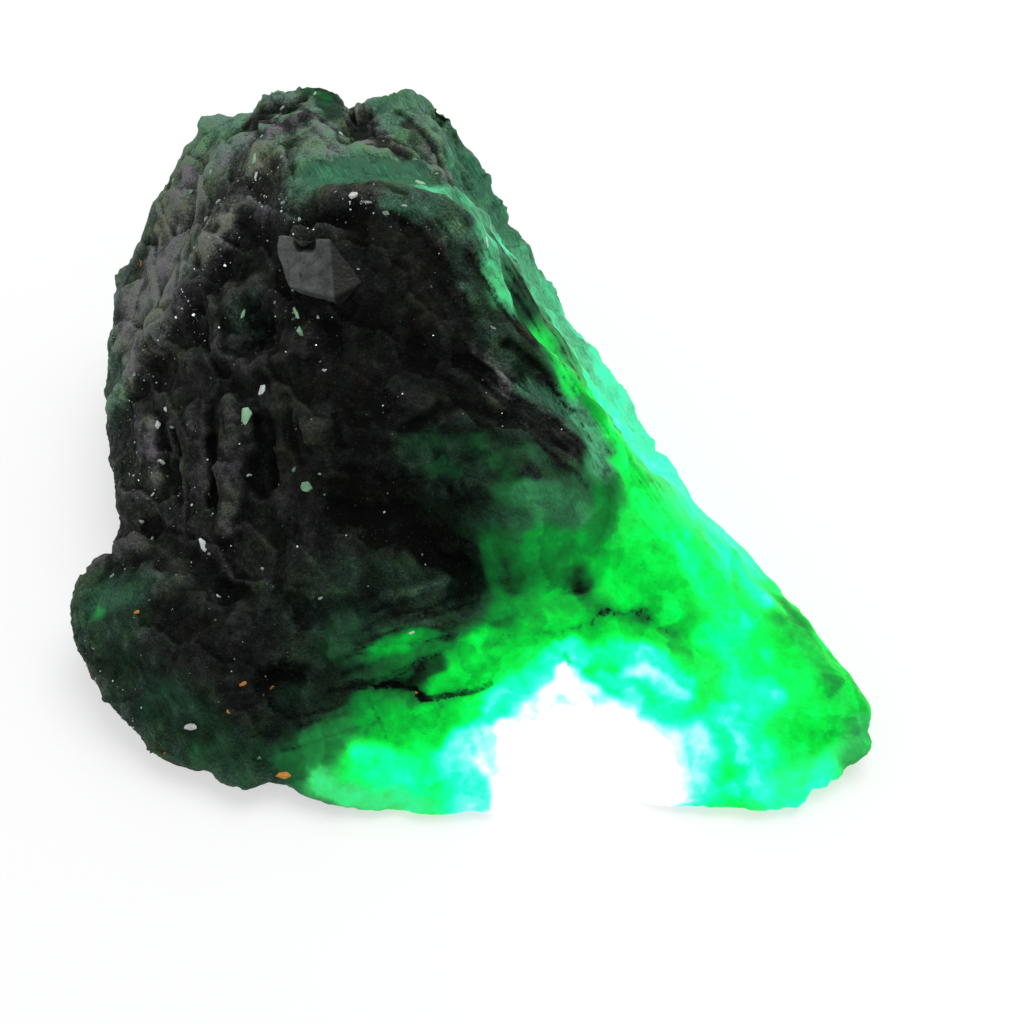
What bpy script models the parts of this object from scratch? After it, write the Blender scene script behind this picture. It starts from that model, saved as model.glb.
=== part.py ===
"""A raw emerald: one rough stone of green beryl still in its dark mica schist, lying on its broad side.

The stone is made as it broke: convex blocks with flat faces are fused into one body, worn a little, and
then carved with the ledges, furrows, lumps and pits of its skin. The face it lies on is ground flat, and
last a grey feldspar crystal is grown into the schist. X runs along the stone, from the rounded schist lobe
to the thin green tip, and +Z is up.
"""

from math import radians

import bmesh
import bpy
import numpy as np
from mathutils import Vector, noise

MM = 0.001

# Driving dimensions, in millimetres
STONE_SIZE = (52.0, 45.5, 25.5)  # along X, Y and Z
RESTING_PRESS = 0.15  # how far up the underside is ground flat
RESTING_POLISH = 0.05  # and how much further once the skin is thinned out
VOXEL = 0.5  # grain of the fused body, before it is thinned out
WEAR_FACTOR = 0.5  # how strongly one pass of wear rounds the broken edges
WEAR_PASSES = 3
SWELL = 0.35  # gives back what the wear takes off the outline
TRIANGLES = 9200  # of the finished stone, before its crystal is fused on
LUMP_RELIEF = 0.55  # height of the rolling relief all over the skin
LUMP_PITCH = 4.2
LUMP_FALLOFF, LUMP_GAP, LUMP_LEVELS = 0.9, 2.1, 3  # how each finer level of lumps follows the last
GRAIN_RELIEF = 0.3  # height of the crumbly relief, which is weaker on the green side
GRAIN_PITCH = 1.5
GRAIN_MIDDLE = 0.4  # the grain height that leaves the skin where it was
SHARP_EDGE = 40.0  # degrees; edges bent more than this are shaded sharp
GREEN_SIDE = (0.75, -0.66, 0.0)  # the way from the schist towards the clear green beryl
GREEN_FROM, GREEN_FULL = 3.0, 9.0  # where along it the skin turns smoother
GREEN_SMOOTH = 0.45  # share of the relief that is left on the green side

# The corners of the blocks that the stone is fused from, in millimetres
BLOCKS = {
    "schist_body": [
        (-12.5, 12.5, 23.5), (-7.5, 6.5, 25), (-4.5, 5.5, 25.5), (-1.5, 5.5, 24.5), (1, 4.5, 22.5),
        (3, 3, 19), (-15.5, 8.5, 20.5), (-18.5, 6, 15.5), (-24, 4, 8), (-26.3, 9.7, 7), (-25.8, 15, 9),
        (-24.5, 16.7, 11.5), (-22, 19.2, 15.2), (-19.7, 19.8, 18.5), (-18.5, 20.5, 20), (-12, 20.5, 22),
        (-10, 20.5, 22.5), (-2, 19.5, 21.5), (-22.5, -4.5, 6.5), (-9.5, -13, 9.5), (-1.5, -12.5, 9.5),
        (3, -10.5, 10), (-24, -2, 1), (-22, -8, 0), (-25, 10, 1), (-23, 18, 1.5), (-15, 22, 1),
        (-3, 20, 0.5), (3, 14, 0), (0, -12, 0), (-12, -14, 0), (-19, 21.5, 12), (-8, 21.5, 14),
    ],
    "green_wall": [
        (-4, 20.5, 22), (-2, 21, 21.5), (-1, 21, 20.5), (-1, 6, 24.5), (1, 5, 22.5), (4, 3.5, 18.5),
        (6.5, 0, 15.5), (10, -3.5, 12.5), (1.5, 19, 16.5), (4, 17, 12.5), (7, 13, 9), (10, 9.5, 6.5),
        (12.5, 5, 5), (16, -0.5, 3.5), (12, -9, 8), (6.5, -10.5, 10), (-3, 18, 0.5), (4, 12, 0.5),
        (11, 3, 0), (14, -3, 0), (4, -10, 0), (-6, -6, 0), (-5, 18, 14),
    ],
    "green_tip": [
        (16.5, -1.5, 3.5), (19, -5, 3.5), (22.7, -10.5, 3.5), (25, -15.3, 3), (26, -16.8, 2.5),
        (25.6, -19.2, 2), (23.7, -20.3, 1.5), (20.8, -22.4, 1), (17.5, -23, 0.8), (15, -22, 0.8),
        (10, -22, 0.8), (10, -7.5, 9.5), (12.5, -11.5, 8), (17.5, -13, 6), (21, -16.5, 4),
        (15, -17, 4.5), (9, -14.5, 7.5), (9.5, -18.5, 4.5), (20, -18, 0), (24, -17, 1), (21, -13, 0),
        (15, -5, 0), (8, -21, 0),
    ],
    "front_skirt": [
        (11.5, -22, 0.8), (3.5, -22, 0.8), (0, -23, 0.8), (-3.5, -22.5, 0.8), (-6.5, -22.5, 1),
        (-8.5, -21.5, 1.5), (-11.5, -21, 2), (-10.5, -15, 8), (-2, -14, 8.5), (4, -13, 9),
        (9, -13.5, 8), (-9, -19, 5), (-2, -19, 4.5), (5, -18.5, 4.5), (8, -21, 0), (-2, -22, 0),
        (-10, -20, 0), (-16, -15, 0), (-15, -6, 0), (6, -6, 0), (-14, -9, 9), (2, -8, 10), (10, -8, 9),
    ],
    "schist_lobe": [
        (-25, -11.2, 4.5), (-24.8, -9.5, 5.5), (-23.7, -8, 6), (-21.5, -7, 7), (-24.3, -13.3, 4),
        (-22.8, -15.3, 3.3), (-20.8, -17.2, 3), (-18.8, -19.2, 2.5), (-16.2, -20.5, 2), (-13, -21.7, 1.8),
        (-11, -21, 1.8), (-21.5, -11.5, 7.5), (-18, -11.5, 8.5), (-14, -14, 8.5), (-10.5, -15.5, 7.5),
        (-16.5, -17.5, 6), (-11.5, -19, 4.5), (-22, -12, 0), (-18, -18, 0), (-12, -18, 0),
        (-14, -6, 0), (-20, -5, 0), (-17, -5, 9),
    ],
    "green_shoulder": [
        (-3, -4.5, 15.5), (-0.5, -4, 16.5), (3, -4, 16.5), (6.5, -4.5, 15), (9, -5.5, 13.5),
        (10, -6.5, 12), (10, -7.5, 10), (6.5, -9, 9.5), (3, -9.5, 9.5), (-1, -8.5, 11.5),
        (1.5, -7.5, 15), (5.5, -8.5, 14.5), (1, -11.5, 10), (6, -12, 9.5), (9.5, -11, 9), (0, -8, 5),
        (8, -4, 5), (4, 0, 8), (2, 0, 18),
    ],
    "wall_foot": [
        (9, -2.5, 13.5), (12, -6, 11), (13.5, -4, 8.5), (16.5, -2, 4), (18.5, -5, 4), (17, -9.5, 7),
        (12.5, -11.5, 8.5), (9, -9, 11), (8, -2, 0), (16.5, -4, 0), (16, -15, 0), (6, -16, 0),
    ],
    "left_knob": [
        (-14.5, 19.5, 21), (-14, 21, 21), (-12, 21, 22), (-10, 21, 22.5), (-8.5, 20, 22.5),
        (-7.5, 14.5, 24), (-12.5, 12.5, 23.5), (-9.5, 10, 25), (-11, 16.5, 23.5), (-14, 14, 16),
        (-8, 14, 16), (-12, 20, 14),
    ],
    "right_knob": [
        (-6, 17, 23), (-4, 20, 22.5), (-2, 20.5, 22), (-1, 20, 21), (-2, 13, 23), (-5, 11.5, 24),
        (-8, 14, 16), (-3, 15, 16), (-4, 19, 14),
    ],
}


# The grey feldspar crystal on the schist, with flat faces, and the small pit at its upper corner
FELDSPAR = [
    (-11.3, 4.6, 22.4), (-10.1, 5.4, 23.6), (-7.7, 4.2, 24.7), (-7.1, 1.1, 22.1), (-9.9, 2, 21.4),
    (-5.2, 1.8, 22.5), (-6.2, 4.2, 24.2), (-9.5, 6, 19), (-6, 5, 19), (-7, 3, 18), (-10, 4, 19),
]
CRYSTAL_PIT = ((-9.4, 5, 24), 0.65)

# Strokes carved along a path of points on the skin, as (path, half width, height); a negative height cuts in
STROKES = {
    "left_ridge": (
        [(-12.5, 13, 23), (-14, 10, 21.5), (-15.5, 8.5, 20), (-18, 5.5, 16), (-20.5, 5.5, 13),
         (-23.5, 4.5, 8)],
        1.9, 0.8,
    ),
    "left_flank_furrow": ([(-18, 16.5, 19), (-19.5, 12.5, 16), (-22.5, 9.5, 11.5)], 2.2, -0.7),
    "crest": (
        [(-7.5, 6.5, 24.5), (-4.5, 5.5, 25.5), (-1.5, 6, 24.5), (0.5, 5, 23), (2, 4, 21), (2.5, 0.5, 19),
         (5, -0.5, 17), (8, -2, 14.5), (9.5, -4, 12.5)],
        1.5, 0.6,
    ),
    "crest_recess": ([(3, 4.5, 20.5), (4, 2.5, 19), (6.5, 0.5, 17)], 1.6, -1.1),
    "shelf_trough": ([(-9.5, 9, 24.5), (-6, 9.5, 24.5), (-2.5, 10.5, 24)], 2.4, -0.8),
    "top_notch": ([(-7.5, 21.5, 21.5), (-7, 16.5, 23.5), (-7.5, 13.5, 24)], 1.6, -1.6),
    "round_pit": ([(-13, 2, 17.5)], 2.6, -1.7),
    "pit_rim_left": ([(-15.5, 2, 16), (-16, 4, 16.5), (-14.5, 5, 18.5), (-12.5, 4.5, 19.5)], 1.2, 0.5),
    "pit_rim_low": ([(-15, 1.5, 16), (-13, 0, 16), (-10.5, -0.5, 17.5), (-9, 0, 19)], 1.2, 0.7),
    "wall_hollow": ([(-7.5, -0.5, 19.5), (-3.5, -0.5, 20), (-1, -2, 18)], 3.0, -0.9),
    "column": ([(-14.5, -1.5, 14), (-14, -4.5, 12), (-14.5, -7.5, 10)], 1.2, 0.9),
    "column_furrow": ([(-16, -2.5, 12), (-15.5, -6.5, 10)], 1.0, -0.8),
    "recess_by_column": ([(-12, -3, 14.5), (-12, -6, 12.5)], 1.4, -0.9),
    "black_knob": ([(-8, -4.5, 16)], 1.9, 1.1),
    "left_low_hollow": ([(-20, 0, 11.5), (-19, -3.5, 9.5)], 1.6, -0.6),
    "lobe_furrow": ([(-22, -4.5, 5.5), (-18, -8, 8.5), (-14, -11.5, 8.5)], 1.6, -0.8),
    "lobe_ridge": ([(-23, -12.5, 4.5), (-18.5, -14.5, 7), (-14.5, -15.5, 7.5)], 2.2, 0.5),
    "rust_pit": ([(-11.5, -17, 6.5), (-10, -16.5, 6.5)], 1.3, -0.9),
    "shadow_valley": ([(-7, -8.5, 13), (-3.5, -9, 12.5), (-1.5, -10.5, 11), (0, -12, 9.5)], 2.8, -1.2),
    "slope_ridge_high": ([(-7, -15, 8), (-1, -13, 9), (5, -10, 9.5)], 1.5, 0.5),
    "slope_ridge_low": ([(-2, -17.5, 6), (4, -14.5, 7.5), (10, -12, 8)], 1.4, 0.5),
    "slope_furrow": ([(-4, -17.5, 6), (1, -17, 6)], 1.1, -0.6),
    "green_furrow": ([(8.5, -8.5, 10), (11.5, -13.5, 7.5), (16.5, -14, 5.5)], 1.6, -0.7),
    "shoulder_step": ([(9, -4, 13), (9.5, -7, 12), (8, -9.5, 11)], 1.2, 0.5),
    "wall_fibre": ([(3, 6, 20.5), (7.5, 1.5, 16.5), (11.5, -2.5, 11.5)], 1.2, 0.4),
    "tip_ridge": ([(17, -7.5, 6), (21, -12.5, 4.5), (24.5, -17, 3)], 1.5, 0.5),
    "front_bulge_left": ([(-7, -21, 2.5)], 2.2, 0.6),
    "front_bulge": ([(-1, -21.5, 2)], 2.4, 0.5),
    "front_notch": ([(-3.8, -22.5, 1.5)], 1.2, -0.6),
    "far_side_ledge": ([(-15, 21.5, 12), (-8, 21.5, 13), (-1, 18, 11)], 2.0, 0.7),
    "far_side_furrow": ([(-20, 20, 6), (-11, 22, 7.5), (-2, 20, 5), (6, 13, 4)], 1.8, -0.9),
    "far_wall_ridge": ([(2, 17.5, 14), (7, 11.5, 8.5), (13, 3.5, 4.5)], 1.3, 0.5),
}


def clear_scene():
    for thing in list(bpy.data.objects):
        bpy.data.objects.remove(thing, do_unlink=True)


def collection_named(name):
    made = bpy.data.collections.new(name)
    bpy.context.scene.collection.children.link(made)
    return made


def evaluated_mesh(thing):
    """The mesh of an object with its modifiers applied."""
    graph = bpy.context.evaluated_depsgraph_get()
    return bpy.data.meshes.new_from_object(thing.evaluated_get(graph))


def add_block(shape, corners):
    """Adds the convex block with these corners to a bmesh."""
    points = [shape.verts.new(Vector(corner) * MM) for corner in corners]
    hull = bmesh.ops.convex_hull(shape, input=points)
    inside = [v for v in hull["geom_interior"] if isinstance(v, bmesh.types.BMVert)]
    bmesh.ops.delete(shape, geom=inside, context="VERTS")


def fused_blocks(collection):
    """One closed body, grown from the overlapping blocks, with its edges worn round."""
    shape = bmesh.new()
    for corners in BLOCKS.values():
        add_block(shape, corners)
    blocks = guide_object("blocks", shape, collection)
    remesh = blocks.modifiers.new("fuse", "REMESH")
    remesh.mode = "VOXEL"
    remesh.voxel_size = VOXEL * MM
    wear = blocks.modifiers.new("wear", "SMOOTH")
    wear.factor = WEAR_FACTOR
    wear.iterations = WEAR_PASSES
    fused = evaluated_mesh(blocks)
    bpy.data.objects.remove(blocks)
    return fused


def points_of(mesh):
    flat = np.empty(len(mesh.vertices) * 3, np.float32)
    mesh.vertices.foreach_get("co", flat)
    return flat.reshape(-1, 3).astype(float) / MM


def normals_of(mesh):
    flat = np.empty(len(mesh.vertices) * 3, np.float32)
    mesh.vertices.foreach_get("normal", flat)
    return flat.reshape(-1, 3).astype(float)


def set_points(mesh, points):
    mesh.vertices.foreach_set("co", (points * MM).astype(np.float32).ravel())
    mesh.update()


def distance_to_path(points, path):
    """How far each point is from a path of straight stretches."""
    corners = np.array(path, float)
    if len(corners) == 1:
        return np.linalg.norm(points - corners[0], axis=1)
    nearest = np.full(len(points), np.inf)
    for start, end in zip(corners[:-1], corners[1:]):
        along = end - start
        share = np.clip((points - start) @ along / (along @ along), 0, 1)
        nearest = np.minimum(nearest, np.linalg.norm(points - start - share[:, None] * along, axis=1))
    return nearest


def carve_strokes(mesh):
    points = points_of(mesh)
    normals = normals_of(mesh)
    lift = np.zeros(len(points))
    for path, half_width, height in STROKES.values():
        share = np.clip(1 - distance_to_path(points, path) / half_width, 0, 1)
        lift += height * share * share * (3 - 2 * share)
    set_points(mesh, points + normals * lift[:, None])


def carve_relief(mesh):
    """Rolling lumps all over and a finer, crumbly grain, both quieter on the green side."""
    points = points_of(mesh)
    normals = normals_of(mesh)
    green = np.clip((points @ np.array(GREEN_SIDE) - GREEN_FROM) / (GREEN_FULL - GREEN_FROM), 0, 1)
    lift = np.empty(len(points))
    for index, place in enumerate(points):
        at = Vector(place)
        lump = noise.fractal(at / LUMP_PITCH, LUMP_FALLOFF, LUMP_GAP, LUMP_LEVELS)
        nearest, second = noise.voronoi(at / GRAIN_PITCH)[0][:2]
        lift[index] = LUMP_RELIEF * lump + GRAIN_RELIEF * (second - nearest - GRAIN_MIDDLE)
    share = 1 - (1 - GREEN_SMOOTH) * green
    set_points(mesh, points + normals * (SWELL + share * lift)[:, None])


def press_flat(mesh, height):
    """Grinds everything below a height off to one flat face."""
    points = points_of(mesh)
    points[:, 2] = np.maximum(points[:, 2], height)
    set_points(mesh, points)


def thinned(mesh, collection):
    """The same skin with only as many triangles as its forms need."""
    stone = bpy.data.objects.new("dense_stone", mesh)
    collection.objects.link(stone)
    thin = stone.modifiers.new("thin", "DECIMATE")
    thin.ratio = TRIANGLES / (2 * len(mesh.polygons))
    thin.use_collapse_triangulate = True
    made = evaluated_mesh(stone)
    bpy.data.objects.remove(stone)
    return made


def guide_object(name, shape, collection):
    """An object to build with, made of a bmesh and shown as wires."""
    mesh = bpy.data.meshes.new(name)
    shape.to_mesh(mesh)
    shape.free()
    made = bpy.data.objects.new(name, mesh)
    made.display_type = "WIRE"
    collection.objects.link(made)
    return made


def feldspar_crystal(collection):
    shape = bmesh.new()
    add_block(shape, FELDSPAR)
    return guide_object("feldspar_crystal", shape, collection)


def crystal_pit(collection):
    centre, radius = CRYSTAL_PIT
    shape = bmesh.new()
    bmesh.ops.create_icosphere(shape, subdivisions=2, radius=radius * MM)
    bmesh.ops.translate(shape, vec=Vector(centre) * MM, verts=shape.verts[:])
    return guide_object("crystal_pit", shape, collection)


def combined(mesh, steps, collection):
    """The mesh after a run of Boolean steps, given as (tool, operation)."""
    stone = bpy.data.objects.new("whole_stone", mesh)
    collection.objects.link(stone)
    for tool, operation in steps:
        step = stone.modifiers.new(tool.name, "BOOLEAN")
        step.object = tool
        step.operation = operation
        step.solver = "EXACT"
    made = evaluated_mesh(stone)
    bpy.data.objects.remove(stone)
    return made


def fit_to_size(mesh):
    """Scales the stone to its driving size, centred over the origin and standing on it."""
    points = points_of(mesh)
    low, high = points.min(axis=0), points.max(axis=0)
    middle = (low + high) / 2
    middle[2] = low[2]
    set_points(mesh, (points - middle) * (np.array(STONE_SIZE) / (high - low)))


def emerald_material():
    made = bpy.data.materials.new("emerald_in_schist")
    made.use_nodes = True
    shader = made.node_tree.nodes["Principled BSDF"]
    shader.inputs["Base Color"].default_value = (0.02, 0.09, 0.05, 1)
    shader.inputs["Roughness"].default_value = 0.45
    shader.inputs["Metallic"].default_value = 0.0
    return made


def main():
    clear_scene()
    specimen = collection_named("raw_emerald_specimen")
    guides = collection_named("guides")
    guides.hide_render = True
    body = fused_blocks(guides)
    carve_strokes(body)
    carve_relief(body)
    press_flat(body, RESTING_PRESS)
    body = thinned(body, guides)
    press_flat(body, RESTING_PRESS + RESTING_POLISH)
    steps = [(feldspar_crystal(guides), "UNION"), (crystal_pit(guides), "DIFFERENCE")]
    body = combined(body, steps, guides)
    fit_to_size(body)
    body.name = "raw_emerald"
    body.shade_smooth()
    body.set_sharp_from_angle(angle=radians(SHARP_EDGE))
    body.materials.clear()
    body.materials.append(emerald_material())
    stone = bpy.data.objects.new("raw_emerald", body)
    specimen.objects.link(stone)


main()
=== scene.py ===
import math
import random

import bmesh
import bpy
import numpy as np
from mathutils import Matrix, Vector, noise
from mathutils.bvhtree import BVHTree


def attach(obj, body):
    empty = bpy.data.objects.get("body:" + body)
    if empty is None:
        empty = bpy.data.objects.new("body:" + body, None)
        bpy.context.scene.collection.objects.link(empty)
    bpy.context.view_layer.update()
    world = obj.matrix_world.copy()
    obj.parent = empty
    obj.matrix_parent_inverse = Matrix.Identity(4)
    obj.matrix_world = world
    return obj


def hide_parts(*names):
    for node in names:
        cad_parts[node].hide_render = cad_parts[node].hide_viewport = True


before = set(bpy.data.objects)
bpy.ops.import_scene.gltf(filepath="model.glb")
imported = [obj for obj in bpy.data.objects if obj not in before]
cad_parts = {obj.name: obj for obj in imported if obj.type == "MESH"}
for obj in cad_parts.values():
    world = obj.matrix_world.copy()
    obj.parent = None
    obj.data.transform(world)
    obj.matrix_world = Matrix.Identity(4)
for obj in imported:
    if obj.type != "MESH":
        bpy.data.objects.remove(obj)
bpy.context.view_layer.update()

mm = 0.001  # the lists below are in millimetres

# The camera, and the frame of 1024 by 1024 picture points that it fills
view = {"look": (3.5, -5.0, 8.0), "elevation": 50.0, "distance": 92.0, "lens": 50.0, "sensor": 36.0, "frame": 1024}

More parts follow.
